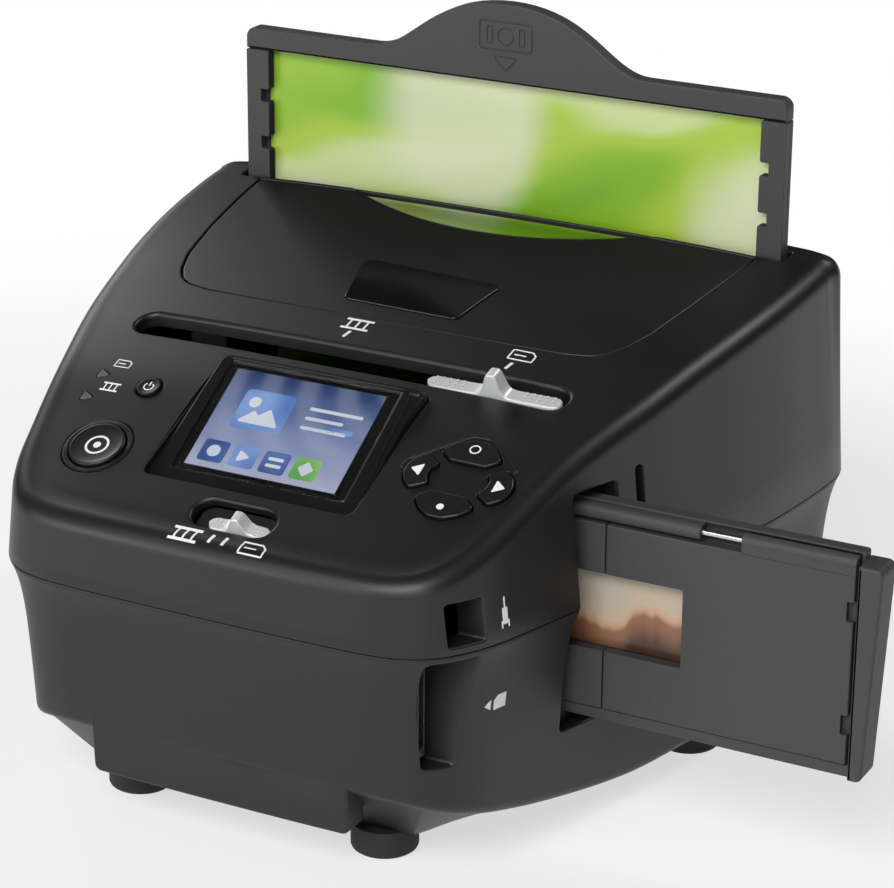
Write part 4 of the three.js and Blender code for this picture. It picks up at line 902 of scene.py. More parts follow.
def turned(points):
    return [(-a, -b) for a, b in points]


PAD_CAP = [
    (5.5, 6.2), (9.3, 9.4), (6.2, 13.1), (2.2, 15.4), (-2.2, 15.4), (-6.2, 13.1), (-9.3, 9.4), (-5.5, 6.2)]
PAD_SIDE = [
    (7.6, -3.8), (12.3, -6.9), (15.4, -4.3), (16.6, -1.4), (16.6, 1.4), (15.4, 4.3), (12.3, 6.9), (7.6, 3.8),
    (9.2, 1.4), (9.2, -1.4)]
PAD_U, PAD_V, PAD_LIFT = 58.3, -5.4, 0.9
CAP_ROUND = [0.9, 1.3, 2.4, 2.4, 2.4, 2.4, 1.3, 0.9]
SIDE_ROUND = [0.8, 1.2, 2.6, 2.6, 2.6, 2.6, 1.2, 0.8, 1.2, 1.2]
PAD = {
    "right": rounded(shifted(PAD_SIDE, PAD_U, PAD_V), SIDE_ROUND),
    "up": rounded(shifted(PAD_CAP, PAD_U, PAD_V), CAP_ROUND),
    "left": rounded(shifted(turned(PAD_SIDE), PAD_U, PAD_V), SIDE_ROUND),
    "down": rounded(shifted(turned(PAD_CAP), PAD_U, PAD_V), CAP_ROUND),
}
SCAN_U, SCAN_V, SCAN_R, SCAN_RING_R = -53.6, -20.2, 8.6, 10.9
POWER_U, POWER_V, POWER_R = -50.7, 5.9, 3.7
LAMP_U, LAMP_HALF, LAMP_VS = -68.0, 1.9, (8.3, -1.8)


def lamp_outline(v):
    left, right = LAMP_U - LAMP_HALF, LAMP_U + LAMP_HALF
    return rounded([(left, v - LAMP_HALF), (right, v), (left, v + LAMP_HALF)], 0.35, 4)


BASE_HALF, BASE_HIGH_V, FACE_HALF, FACE_HIGH, FACE_CORNER = 34.4, 25, 32.2, 48.2, 2.4
BEZEL_BASE = rounded(
    [(-BASE_HALF, LOW_V), (BASE_HALF, LOW_V), (BASE_HALF, BASE_HIGH_V), (-BASE_HALF, BASE_HIGH_V)],
    FACE_CORNER, 8)
LOWER_SLOT = stadium(1.8, -36.2, 7.9, 5.3)
UPPER_SLOT = spaced(stadium(0, 34.3, 67.6, 5.3), 4)
COVER_EDGE_SHARES = [
    (0, 0), (0.5, 0.004), (0.68, 0.012), (0.775, 0.036), (0.82, 0.072), (0.857, 0.135), (0.897, 0.26),
    (0.938, 0.513), (0.968, 0.767), (0.99, 1)]
COVER_ROUNDS = [16, 12, 9, 9, 12, 30, 60, 60]
COVER_HALF, COVER_LOW, COVER_HIGH, COVER_GAP = 90, 54.6, 133.4, 0.5
NOTCH_R, NOTCH_Y, NOTCH_HALF, NOTCH_SHOULDER = 92, 210, 52, 54.5
SLOT_HALF, SLOT_LOW, SLOT_HIGH = 97, 134.9, 143


def cover_side(shrink):
    """Right half of the cover's outline, from the middle of its front edge back to its rear corner."""
    depth = COVER_HIGH - COVER_LOW
    return [(x * COVER_HALF - (shrink if x else 0), COVER_LOW + shrink + y * (depth - 2 * shrink))
            for x, y in COVER_EDGE_SHARES]


def cover_opening():
    right = cover_side(0)
    return rounded(right + mirrored(right), [0, *COVER_ROUNDS, 1.2, 1.2, *COVER_ROUNDS[::-1]])


def notch_arc(radius, reach, count):
    """Arc of the finger notch, from the turn -reach to reach."""
    turns = np.linspace(-reach, reach, count)
    return [(radius * math.sin(a), NOTCH_Y - radius * math.cos(a)) for a in turns]


def notched_slot():
    """Slot of the photo tray with the finger notch in its front edge."""
    arc = notch_arc(NOTCH_R, math.asin(NOTCH_HALF / NOTCH_R), 49)
    left = [(-SLOT_HALF, SLOT_HIGH), (-SLOT_HALF, SLOT_LOW), (-NOTCH_SHOULDER, SLOT_LOW)]
    right = [(-x, y) for x, y in left[::-1]]
    return spaced(rounded(left + arc + right, [0.9, 0.9, 4] + [0] * len(arc) + [4, 0.9, 0.9]), 5)


TRAY_SLOT = notched_slot()
FILM_MOUTH = spaced(box_outline(9, 35, 25.5, 109, 1.4), 2.5)
SIDE_SLIT = spaced(box_outline(33.2, 96, 36.2, 111, 1.3), 1.5)
USB_MOUTH = spaced(box_outline(-37.2, 77.4, -27, 90, 1.0), 1.5)
CARD_MOUTH = spaced(rounded([(-37.6, 38.6), (-30.4, 38.6), (-27.4, 72.6), (-41, 72.6)], 1.2), 1.5)
PANEL_HOLES = [
    (moved_out(BEZEL_BASE, GAP), 0.35), (circle(SCAN_U, SCAN_V, SCAN_R + 0.4), 0.0),
    (circle(POWER_U, POWER_V, POWER_R + 0.4), 0.7), (LOWER_SLOT, 1.1),
    *[(moved_out(outline, 0.4), 0.35) for outline in PAD.values()],
    *[(moved_out(lamp_outline(v), GAP), 0.2) for v in LAMP_VS],
]
COVER_OPENING = spaced(cover_opening(), 3)
COVER_BED, COVER_SUNK, COVER_UNDER, BADGE_BED, BADGE_ROUND = 1.7, 0.3, 1.4, 0.55, 0.22
UPPER_SLOT_ROUND, TRAY_SLOT_ROUND, COVER_BED_ROUND = 1.2, 0.8, 0.45
MOUTH_ROUND, SLIT_ROUND, USB_ROUND, MOUTH_DEEP = 0.8, 0.4, 0.6, WALL + 1.4

inner_upper = loft("tool", *upper_rings(WALL, SEAM_Z - 12, INNER_COUNT, walls=3, rounds=4, decks=14, rim=0))
cover_room = combine(
    upright_tool(COVER_OPENING, COVER_BED_ROUND, SEAM_Z, ABOVE_ALL_Z), [lowered_copy(COVER_BED)])
ring_room = slab("tool", circle(SCAN_U, SCAN_V, SCAN_RING_R + GAP + 0.3), panel_skin(), 1.5, -8)
upper_shell = joined("housing_upper_shell", [lowered_copy(0)])
combine(upper_shell, [
    inner_upper, cover_room, ring_room,
    *[through_panel(outline, grow) for outline, grow in PANEL_HOLES],
    upright_tool(UPPER_SLOT, UPPER_SLOT_ROUND, 112, 160),
    upright_tool(TRAY_SLOT, TRAY_SLOT_ROUND, 136.3, ABOVE_ALL_Z),
    through_side(FILM_MOUTH, MOUTH_ROUND), through_side(SIDE_SLIT, SLIT_ROUND),
    through_side(USB_MOUTH, USB_ROUND),
])
shade(upper_shell, 34, [upper_guide, Guide(outer_upper, -COVER_BED)])

upper_rims = [
    *[lip("rim", outline, panel_skin(), grow, WALL) for outline, grow in PANEL_HOLES if grow],
    lip("rim", circle(SCAN_U, SCAN_V, SCAN_RING_R + GAP), panel_skin(), 0.3, 1.5),
    lip("rim", UPPER_SLOT, roof_skin(), UPPER_SLOT_ROUND, 4.2),
    lip("rim", TRAY_SLOT, roof_skin(), TRAY_SLOT_ROUND, 3.4),
    lip("rim", COVER_OPENING, roof_skin(), COVER_BED_ROUND, COVER_BED),
    lip("rim", SIDE_SLIT, wall_place, SLIT_ROUND, WALL + 1),
    lip("rim", USB_MOUTH, wall_place, USB_ROUND, WALL + 6),
    above_plane(lip("rim", FILM_MOUTH, wall_place, MOUTH_ROUND, MOUTH_DEEP), SEAM_Z + GAP / 2, True),
]
upper_rim = shade(joined("housing_upper_rims", upper_rims), 40)

inner_lower = loft("tool", *lower_rings(WALL, SEAM_Z + 12, INNER_COUNT, walls=8, rounds=3, rim=0))
SKIRT = spaced(rounded([(-43, 14), (43, 14), (43, 46), (-43, 46)], [2.2, 2.2, 0, 0]), 4)
skirt = slab("tool", SKIRT, skirt_place, 9, 0, round_high=0.9)
lower_shell = combine(joined("housing_lower_shell", [outer_lower]), [skirt], "UNION")
FEET = [(-41.9, -17.5), (41.9, -17.5), (-92, 86.5), (92, 86.5)]
SCREWS = [(-60, 36), (60, 36), (-60, 124), (60, 124)]
BELOW_Z, FOOT_SEAT_Z, HEAD_SEAT_Z, SHAFT_END_Z = KEEL_Z - 6, KEEL_Z + 0.8, KEEL_Z + 1.7, KEEL_Z + 6
FOOT_ROOM_R, HEAD_ROOM_R, SHAFT_ROOM_R = 10.3, 3.3, 1.8
combine(lower_shell, [
    inner_lower, through_side(FILM_MOUTH, MOUTH_ROUND), through_side(CARD_MOUTH, MOUTH_ROUND),
    *[upright_tool(circle(x, y, FOOT_ROOM_R), 0, BELOW_Z, FOOT_SEAT_Z) for x, y in FEET],
    *[upright_tool(circle(x, y, HEAD_ROOM_R, 32), 0, BELOW_Z, HEAD_SEAT_Z) for x, y in SCREWS],
    *[upright_tool(circle(x, y, SHAFT_ROOM_R, 24), 0, BELOW_Z, SHAFT_END_Z) for x, y in SCREWS],
])
shade(lower_shell, 34, [lower_guide])
lower_rims = [
    above_plane(lip("rim", FILM_MOUTH, wall_place, MOUTH_ROUND, MOUTH_DEEP), SEAM_Z - GAP / 2, False),
    lip("rim", CARD_MOUTH, wall_place, MOUTH_ROUND, WALL + 12),
]
lower_rim = shade(joined("housing_lower_rims", lower_rims), 40)
fit(upper_shell, "housing", BLACK, "black_plastic", "upper_housing")
fit(upper_rim, "housing", BLACK, "black_plastic", "upper_housing")
fit(lower_shell, "housing", LOWER, "lower_plastic", "lower_housing")
fit(lower_rim, "housing", LOWER, "lower_plastic", "lower_housing")

# Cover panel: its rear edge follows the finger notch
side_edge = cover_side(COVER_GAP)
notch_radius = NOTCH_R + COVER_GAP
notch_reach = math.acos((NOTCH_Y - COVER_HIGH + COVER_GAP) / notch_radius)
cover_corners = side_edge + notch_arc(notch_radius, -notch_reach, 41) + mirrored(side_edge)
cover_rounds = [0, *COVER_ROUNDS, 1.4, 1.6] + [0] * 39 + [1.6, 1.4, *COVER_ROUNDS[::-1]]
COVER = spaced(rounded(cover_corners, cover_rounds), 3)
BADGE = rounded([(-17.2, 63.2), (22, 62.3), (25.9, 85.1), (-23.1, 87.7)], 2.2)
cover_shell = joined("top_cover_panel", [lowered_copy(COVER_SUNK)])
combine(cover_shell, [lowered_copy(COVER_UNDER)])
combine(cover_shell, [upright_tool(COVER, -COVER_GAP, SEAM_Z, ABOVE_ALL_Z)], "INTERSECT")
badge_room = combine(upright_tool(BADGE, GAP + 0.15, SEAM_Z, ABOVE_ALL_Z), [lowered_copy(BADGE_BED)])
combine(cover_shell, [badge_room])
shade(cover_shell, 34, [Guide(outer_upper, -COVER_SUNK)])
cover_rims = [lip("rim", COVER, roof_skin(-COVER_SUNK), 0.5, 1.1, opening=False),
              lip("rim", moved_out(BADGE, GAP), roof_skin(-COVER_SUNK), 0.15, 0.25)]
cover_rim = shade(joined("top_cover_rims", cover_rims), 40)
discard(outer_upper)
fit(cover_shell, "housing", BLACK, "black_plastic", "top_cover")
fit(cover_rim, "housing", BLACK, "black_plastic", "top_cover")

badge = slab("blank_plate", spaced(BADGE, 3), roof_skin(BADGE_ROUND), 0.6, 0, round_high=BADGE_ROUND)
fit(shade(badge, 40), "housing", GLOSS, "gloss_black", "badge_plate")


# Display
FACE = rounded([(-BASE_HALF, 0), (BASE_HALF, 0), (FACE_HALF, FACE_HIGH), (-FACE_HALF, FACE_HIGH)],
               FACE_CORNER, 8)
PANE_U, PANE_W, PANE_HALF_U, PANE_HALF_W = 0.3, 26.4, 28.4, 20.6
STEP_SHARE = 0.45


def display_frame():
    """Frame that leans out of the panel: its base, a waist, a step all round and the face."""
    level = (BEZEL_BASE[:, 1] - LOW_V) * math.tan(TILT) - SINK
    waist = on_panel(BEZEL_BASE[:, 0], BEZEL_BASE[:, 1], np.minimum(0, level) - 0.3)
    step = (1 - STEP_SHARE) * waist + STEP_SHARE * face_place(FACE, 0)
    middle = step.mean(axis=0)
    out = (step - middle) / np.linalg.norm(step - middle, axis=1, keepdims=True)
    rings = [panel_place(BEZEL_BASE, 5.2), waist, step + out * 0.1, step - out * 0.35,
             face_place(moved_out(FACE, -0.35), 0.55), face_place(moved_out(FACE, -0.5), 0.2),
             face_place(moved_out(FACE, -0.85), 0)]
    made = outward(loft("display_frame", rings))
    return combine(made, [
        slab("tool", centred(PANE_U, PANE_W, 29.05, 21.25, 1.2), face_place, 1.6, -2),
        slab("tool", centred(VIEW_U, VIEW_W, 26.2, 19.2, 0.5), face_place, 12, 0),
        slab("tool", centred(VIEW_U, VIEW_W, 27.5, 20.5, 0.5), face_place, 12, 2.6),
    ])


bezel_rims = [lip("rim", centred(PANE_U, PANE_W, 28.7, 20.9, 0.9), face_place, 0.35, 1.6)]
fit(shade(display_frame(), 26), "housing", BEZEL, "gloss_black", "display_bezel")
fit(shade(joined("display_frame_rim", bezel_rims), 40), "housing", BEZEL, "gloss_black", "display_bezel")
pane = slab("display_clear_pane", centred(PANE_U, PANE_W, PANE_HALF_U, PANE_HALF_W, 0.8), face_place,
            1.3, 0.3, round_high=0.15)
fit(shade(pane, 30), "housing", PANE, "window", "display_window")
picture = slab("display_lit_picture", centred(VIEW_U, VIEW_W, 25.0, 18.2), face_place, 3.2, 1.75)
fit(shade(picture), "housing", PICTURE, "screen", "display_module")
border = combine(slab("display_dark_border", centred(VIEW_U, VIEW_W, 26.0, 19.0), face_place, 3.2, 1.6),
                 [slab("tool", centred(VIEW_U, VIEW_W, 25.1, 18.3, 0.3), face_place, 4, 0)])
fit(shade(border), "housing", BEZEL, "screen", "display_module")
backing = slab("display_backing", centred(VIEW_U, VIEW_W, 27.2, 20.2, 1), face_place, 5.1, 3.2,
               round_low=0.3)
fit(shade(backing), "housing", INNER, "screen", "display_module")


def lit_shape(name, outline, depth, thick=0.1):
    return slab(name, spaced(np.asarray(outline, float), 3), face_place, depth + thick, depth)


def bar(u, w, length, height=1.1):
    return centred(u + length / 2, w, length / 2, height / 2, height * 0.45)


TILE_ROW_W = 14.4
TILE_ROW = [(-18.6, TILE_DEEP), (-8.4, TILE_BLUE), (1.8, TILE_DEEP), (12.0, TILE_GREEN)]
HILLS = rounded([(-17.4, 26.2), (-3.4, 26.2), (-8.2, 32.4), (-11.2, 29.4), (-13, 31)], 0.5, 3)
PLAY_ARROW = rounded([(-10.4, 12.3), (-6.4, TILE_ROW_W), (-10.4, 16.5)], 0.4, 3)
DIAMOND = rounded([(12, 11.7), (14.6, TILE_ROW_W), (12, 17.1), (9.4, TILE_ROW_W)], 0.4, 3)
lit_shape_sets = {
    "blue": (TILE_BLUE, [
        (centred(-10.4, 31.2, 8.4, 7.2, 1.8), 1.6), (centred(16.0, 29.3, 4.2, 0.9, 0.8), 1.5),
    ]),
    "pale": (TILE_PALE, [
        (circle(-14.4, 33.9, 1.9, 32), 1.5), (HILLS, 1.5),
        (bar(3.4, 35.4, 17.5), 1.5), (bar(3.4, 31.9, 12.5), 1.5), (bar(3.4, 28.4, 15), 1.5),
        (circle(-18.6, TILE_ROW_W, 2.1, 32), 1.4), (PLAY_ARROW, 1.4),
        (centred(1.8, 13.2, 2.5, 0.55, 0.4), 1.4), (centred(1.8, 15.6, 2.5, 0.55, 0.4), 1.4),
        (DIAMOND, 1.4),
    ]),
}
for name, (finish, shapes) in lit_shape_sets.items():
    shapes = [lit_shape("tile", outline, depth) for outline, depth in shapes]
    tiles = joined("display_" + name + "_shapes", shapes)
    fit(shade(tiles), "housing", finish, "screen", "display_module")
for number, (u, finish) in enumerate(TILE_ROW, 1):
    tile = lit_shape("display_tile_" + str(number), centred(u, TILE_ROW_W, 4.2, 3.9, 1.0), 1.5)
    fit(shade(tile), "housing", finish, "screen", "display_module")


# Buttons and lamps
def turned_on_panel(name, u, v, profile, hollow=False):
    """Round body square to the panel at u, v: profile lists radius and depth under the housing's surface."""
    place = panel_skin()
    rings = [place(circle(u, v, radius, 96), depth) for radius, depth in profile if radius]
    if hollow:
        return tube(name, rings)
    middle = np.array([[u, v]])
    return outward(loft(name, rings, place(middle, profile[0][1])[0], place(middle, profile[-1][1])[0]))


for side, outline in PAD.items():
    cap = slab("cap", spaced(outline, 1.5), panel_skin(PAD_LIFT), 5.0, 0, round_high=0.5)
    flange = slab("flange", spaced(moved_out(outline, 1.0), 1.5), panel_skin(PAD_LIFT), 6.2, 5.0)
    key = shade(joined("pad_cap_" + side, [cap, flange]), 40)
    fit(key, "pad_key_" + side, KEYS, "key_plastic", "pad_" + side)

SCAN_PROFILE = [
    (9.9, 5.3), (9.9, 4.1), (SCAN_R, 4.1), (SCAN_R, -0.45), (8.52, -0.72), (8.3, -0.88), (8.0, -0.9),
    (7.7, -0.84), (7.2, -0.7), (6.0, -0.52), (4.0, -0.4), (2.0, -0.36), (0, -0.36)]
RING_PROFILE = [
    (9.05, 1.2), (9.05, 0.25), (9.12, 0.08), (9.3, 0), (9.7, 0), (9.8, 0.1), (9.95, 0.1), (10.05, 0),
    (10.6, 0), (10.8, 0.08), (SCAN_RING_R, 0.3), (SCAN_RING_R, 1.2)]
POWER_PROFILE = [
    (5.0, 5.3), (5.0, 4.1), (POWER_R, 4.1), (POWER_R, -0.35), (3.62, -0.58), (3.42, -0.7), (3.1, -0.66),
    (2.4, -0.5), (1.2, -0.42), (0, -0.42)]
scan = shade(turned_on_panel("scan_cap", SCAN_U, SCAN_V, SCAN_PROFILE), 40)
fit(scan, "scan_key", KEYS, "key_plastic", "scan_button")
ring = shade(turned_on_panel("scan_surround", SCAN_U, SCAN_V, RING_PROFILE, hollow=True), 40)
fit(ring, "housing", KEYS, "key_plastic", "scan_ring")
power = shade(turned_on_panel("power_cap", POWER_U, POWER_V, POWER_PROFILE), 40)
fit(power, "power_key", KEYS, "key_plastic", "power_button")
for number, v in enumerate(LAMP_VS, 1):
    lens = slab("lamp_lens_" + str(number), lamp_outline(v), panel_skin(0.2), 4.8, 0, round_high=0.18)
    fit(shade(lens, 40), "housing", LENS_GREY, "indicator", "indicator_" + str(number))


# Thumb slides
SLIDE_ROUND, HILL_NARROWING = 0.7, 0.14


def thumb_slide(name, place, half_length, half_depth, rise, hill_x, hill_half, low, steepness=5.0, count=64):
    """Boat-shaped slide with a smooth hill to push: place takes x, across and height as one row each."""
    def section(x, half, high):
        bend = min(SLIDE_ROUND, 0.8 * half)
        arc = np.linspace(0, math.pi / 2, 6)
        side = [(half - bend * (1 - math.cos(a)), high - bend * (1 - math.sin(a))) for a in arc]
        points = [(-half, low), (half, low)] + side + [(-y, z) for y, z in side[::-1]]
        return place(np.array([(x, y, z) for y, z in points]))

    rings = []
    ends = np.sin(np.linspace(0, math.pi / 2, 10))[:-1] * half_depth
    straight = half_length - half_depth
    middle = np.linspace(-straight, straight, count)[1:-1]
    xs = np.concatenate([-straight - ends[::-1], middle, straight + ends])
    for x in xs:
        over = max(0.0, abs(x) - straight)
        half = math.sqrt(max(half_depth**2 - over**2, 0.01))
        lift = rise / (1 + (abs(x - hill_x) / hill_half) ** steepness)
        rings.append(section(x, half * (1 - HILL_NARROWING * lift / rise), lift))
    return outward(loft(name, rings))


def stamp_grid():
    """Geometry group: a grid of small pointed studs, all in one mesh."""
    group = bpy.data.node_groups.new("stud_grid", "GeometryNodeTree")
    sockets = {"Columns": "Int", "Rows": "Int", "Length": "Float", "Width": "Float", "Stud Radius": "Float",
               "Stud Height": "Float", "Sides": "Int", "Tip Share": "Float", "Finish": "Material"}
    for label, kind in sockets.items():
        group.interface.new_socket(label, in_out="INPUT", socket_type="NodeSocket" + kind)
    group.interface.new_socket("Geometry", in_out="OUTPUT", socket_type="NodeSocketGeometry")
    given, out = group.nodes.new("NodeGroupInput").outputs, group.nodes.new("NodeGroupOutput")
    grid = add_node(group, "GeometryNodeMeshGrid", {
        "Size X": given["Length"], "Size Y": given["Width"], "Vertices X": given["Columns"],
        "Vertices Y": given["Rows"]})
    tip = maths(group, "MULTIPLY", given["Stud Radius"], given["Tip Share"])
    cone = add_node(group, "GeometryNodeMeshCone", {
        "Vertices": given["Sides"], "Radius Bottom": given["Stud Radius"], "Radius Top": tip,
        "Depth": given["Stud Height"]})
    spread = add_node(group, "GeometryNodeInstanceOnPoints", {
        "Points": grid.outputs["Mesh"], "Instance": cone.outputs["Mesh"]})
    real = add_node(group, "GeometryNodeRealizeInstances", {"Geometry": spread.outputs["Instances"]})
    coat = add_node(group, "GeometryNodeSetMaterial", {
        "Geometry": real.outputs["Geometry"], "Material": given["Finish"]})
    feed(group, out, {"Geometry": coat.outputs["Geometry"]})
    return group


STUDS = stamp_grid()


def studs(name, columns, rows, length, width, radius, height, finish, sides=4, tip=0.3):
    """Grid of studs round the origin, in millimetres turned to metres, standing on z = 0."""
    base = bpy.data.objects.new(name, bpy.data.meshes.new(name))
    bpy.context.scene.collection.objects.link(base)
    modifier = base.modifiers.new("studs", "NODES")
    modifier.node_group = STUDS
    values = {"Columns": columns, "Rows": rows, "Length": length * MM, "Width": width * MM,
              "Stud Radius": radius * MM, "Stud Height": height * MM, "Sides": sides, "Tip Share": tip,
              "Finish": finish}
    for item in STUDS.interface.items_tree:
        if item.in_out == "INPUT":
            modifier[item.identifier] = values[item.name]
    plain_copy(base)
    return base


def moved(made, matrix):
    """Bakes a move into the mesh, so that the object itself stays at the origin."""
    made.data.transform(matrix)
    return made


def panel_matrix(u, v, n):
    spot = (on_panel(u, v, n) + ORIGIN) * MM
    return Matrix.Translation(Vector(spot)) @ Matrix.Rotation(SLOPE, 4, "X")


ROOF_FROM_Y, ROOF_TO_Y = 29, 31
ROOF_SLOPE = math.atan(float(top_z(0, ROOF_TO_Y) - top_z(0, ROOF_FROM_Y)) / (ROOF_TO_Y - ROOF_FROM_Y))
UPPER_X, UPPER_Y, LOWER_U, LOWER_V = 51.0, 31.1, 5.4, -39.4


def roof_frame(points):
    """x, up the slope and out of it, round the upper slide."""
    x, along, out = points.T
    y = UPPER_Y + along * math.cos(ROOF_SLOPE) - out * math.sin(ROOF_SLOPE)
    z = float(top_z(0, UPPER_Y)) + along * math.sin(ROOF_SLOPE) + out * math.cos(ROOF_SLOPE)
    return np.column_stack([x + UPPER_X, y, z])


def panel_frame(points):
    return on_panel(points[:, 0] + LOWER_U, points[:, 1] + LOWER_V, points[:, 2])


FLANGE_LOW_Y, FLANGE_HIGH_Y, FLANGE_THICK = 28.3, 41.5, 1.6
FLANGE_TOP = float(top_z(HALF_WIDTH, FLANGE_LOW_Y)) - WALL - GAP
upper_knob = thumb_slide("upper_slide_knob", roof_frame, half_length=21.6, half_depth=2.7, rise=7.0,
                         hill_x=0.4, hill_half=2.6, low=-2.4)
fit(shade(upper_knob, 50), "light_slide", SILVER, "silver_plastic", "light_slider")
lower_knob = thumb_slide("lower_slide_knob", panel_frame, half_length=9.7, half_depth=2.4, rise=5.0,
                         hill_x=0.5, hill_half=2.2, low=-2.2, steepness=4.0)
fit(shade(lower_knob, 50), "lens_slide", SILVER, "silver_plastic", "lens_slider")
upper_parts = [
    slab("stem", stadium(50, 31.3, 17, 2.0), level_place, FLANGE_THICK - FLANGE_TOP,
         1.0 - float(top_z(0, UPPER_Y))),
    slab("flange", box_outline(23.8, FLANGE_LOW_Y, 75.8, FLANGE_HIGH_Y, 0.8), level_place,
         FLANGE_THICK - FLANGE_TOP, -FLANGE_TOP),
]
upper_carrier = joined("upper_slide_carrier", upper_parts)
fit(shade(upper_carrier), "light_slide", INNER, "silver_plastic", "light_slider")
lower_parts = [
    slab("stem", stadium(5.0, -39.2, 6.0, 1.7), panel_place, 5.6, 2.0),
    slab("flange", box_outline(-10.9, -43.2, 18.1, -30.4, 0.8), panel_place, 5.6, 4.2),
]
lower_carrier = joined("lower_slide_carrier", lower_parts)
fit(shade(lower_carrier), "lens_slide", INNER, "silver_plastic", "lens_slider")

upper_grip, lower_grip = [], []
for side in (-1, 1):
    grip = studs("grip", 5, 3, length=8.8, width=2.9, radius=0.6, height=0.5, finish=SILVER)
    spot = (roof_frame(np.array([[side * 14.6, 0, 0.22]]))[0] + ORIGIN) * MM
    upper_grip.append(moved(grip, Matrix.Translation(Vector(spot)) @ Matrix.Rotation(ROOF_SLOPE, 4, "X")))
    grip = studs("grip", 3, 3, length=2.8, width=2.4, radius=0.5, height=0.4, finish=SILVER)
    lower_grip.append(moved(grip, panel_matrix(LOWER_U + side * 6.4, LOWER_V, 0.2)))
fit(joined("upper_slide_grip", upper_grip), "light_slide", SILVER, "silver_plastic", "light_slider")
fit(joined("lower_slide_grip", lower_grip), "lens_slide", SILVER, "silver_plastic", "lens_slider")


# Photo tray
TRAY_FRONT, TRAY_REAR, TRAY_PLATE = 136.6, 142.2, 140.2
RAILS_REAR, PRINT_FRONT, PRINT_REAR, WELL_REAR = 139.9, 140.5, 140.8, 141.1
TRAY_HALF, TRAY_BOTTOM, BAR_BOTTOM, BAR_TOP, HUMP_TOP, HUMP_HALF = 95.6, 50, 187, 194, 212.5, 48
RAIL_WIDTH, NOTCH_COUNT, NOTCH_PITCH, NOTCH_TALL, NOTCH_DEEP = 8.4, 7, 16, 4.2, 3
TOP_NOTCH_Z, RAILS_TOP, TRAY_SILL = 173.6, 186.7, 60
RAIL_INNER = TRAY_HALF - RAIL_WIDTH


def bezier(points, steps=20):
    """Points along a cubic curve, without its first."""
    t = np.linspace(0, 1, steps + 1)[1:, None]
    a, b, c, d = (np.array([p], float) for p in points)
    return (1 - t) ** 3 * a + 3 * t * (1 - t) ** 2 * b + 3 * t**2 * (1 - t) * c + t**3 * d


def tray_bar_outline():
    rise = bezier([(HUMP_HALF, BAR_TOP), (34, BAR_TOP), (28, HUMP_TOP), (0, HUMP_TOP)])
    fall = bezier([(0, HUMP_TOP), (-28, HUMP_TOP), (-34, BAR_TOP), (-HUMP_HALF, BAR_TOP)])
    curve = np.concatenate([rise, fall])
    corners = [(-TRAY_HALF, BAR_BOTTOM), (TRAY_HALF, BAR_BOTTOM), (TRAY_HALF, BAR_TOP), (HUMP_HALF, BAR_TOP),
               *curve, (-TRAY_HALF, BAR_TOP)]
    return spaced(rounded(corners, [0.3, 0.3, 6.5, 0] + [0] * len(curve) + [6.5], 8), 4)


tray_bar = slab("tray_top_bar", tray_bar_outline(), front_place, TRAY_REAR, TRAY_FRONT, 0.7, 0.7)
icon = [
    box_outline(-9.2, 197.6, 9.2, 206.6, 1.0), circle(0, 202.1, 2.7, 32),
    box_outline(-6.6, 199.4, -4.8, 204.8, 0.4), box_outline(4.8, 199.4, 6.6, 204.8, 0.4),
    rounded([(-4.2, 195.4), (0, 190.9), (4.2, 195.4)], 0.3, 2),
]


def bar_front(flat, depth):
    return front_place(flat, TRAY_FRONT + depth)


combine(tray_bar, [ridge("tool", spaced(path, 1.5), bar_front, 0.55, -0.3, -0.4, True, 4) for path in icon])
tray_plate = combine(
    slab("tray_rear_plate", box_outline(-TRAY_HALF, TRAY_BOTTOM, TRAY_HALF, BAR_BOTTOM, 0.8), front_place,
         TRAY_REAR, TRAY_PLATE, 0.4),
    [slab("tool", box_outline(-89.2, 60.7, 89.2, 188.3), front_place, WELL_REAR, 138)])
fit(shade(tray_bar, 38), "photo_tray", CHARCOAL, "charcoal_plastic", "tray_back")
fit(shade(tray_plate), "photo_tray", CHARCOAL, "charcoal_plastic", "tray_back")


def tray_frame_outline():
    """Open frame: two rails with square notches and a bar along the bottom, as one outline."""
    steps = [(RAIL_INNER, TRAY_SILL)]
    for i in reversed(range(NOTCH_COUNT)):
        top = TOP_NOTCH_Z - i * NOTCH_PITCH
        deep = RAIL_INNER + NOTCH_DEEP
        steps += [(RAIL_INNER, top - NOTCH_TALL), (deep, top - NOTCH_TALL), (deep, top), (RAIL_INNER, top)]
    steps.append((RAIL_INNER, RAILS_TOP))
    right = [(TRAY_HALF, TRAY_BOTTOM), (TRAY_HALF, RAILS_TOP)] + steps[::-1]
    left = [(-x, z) for x, z in right][::-1]
    rounds = [0.8, 0.6, 0.6] + [0.7, 0.35, 0.35, 0.7] * NOTCH_COUNT + [0.8]
    return rounded(right + left, rounds + rounds[::-1], 4)


tray_rails = slab("tray_notched_rails", tray_frame_outline(), front_place, RAILS_REAR, TRAY_FRONT, 0, 0.3, 3)
fit(shade(tray_rails, 36), "photo_tray", CHARCOAL, "charcoal_plastic", "tray_frame")
paper = slab("leaf_print", box_outline(-88.9, 61, 88.9, 188, 0.2), front_place, PRINT_REAR, PRINT_FRONT)
fit(shade(paper), "photo_tray", PAPER, "print", "photo_print")


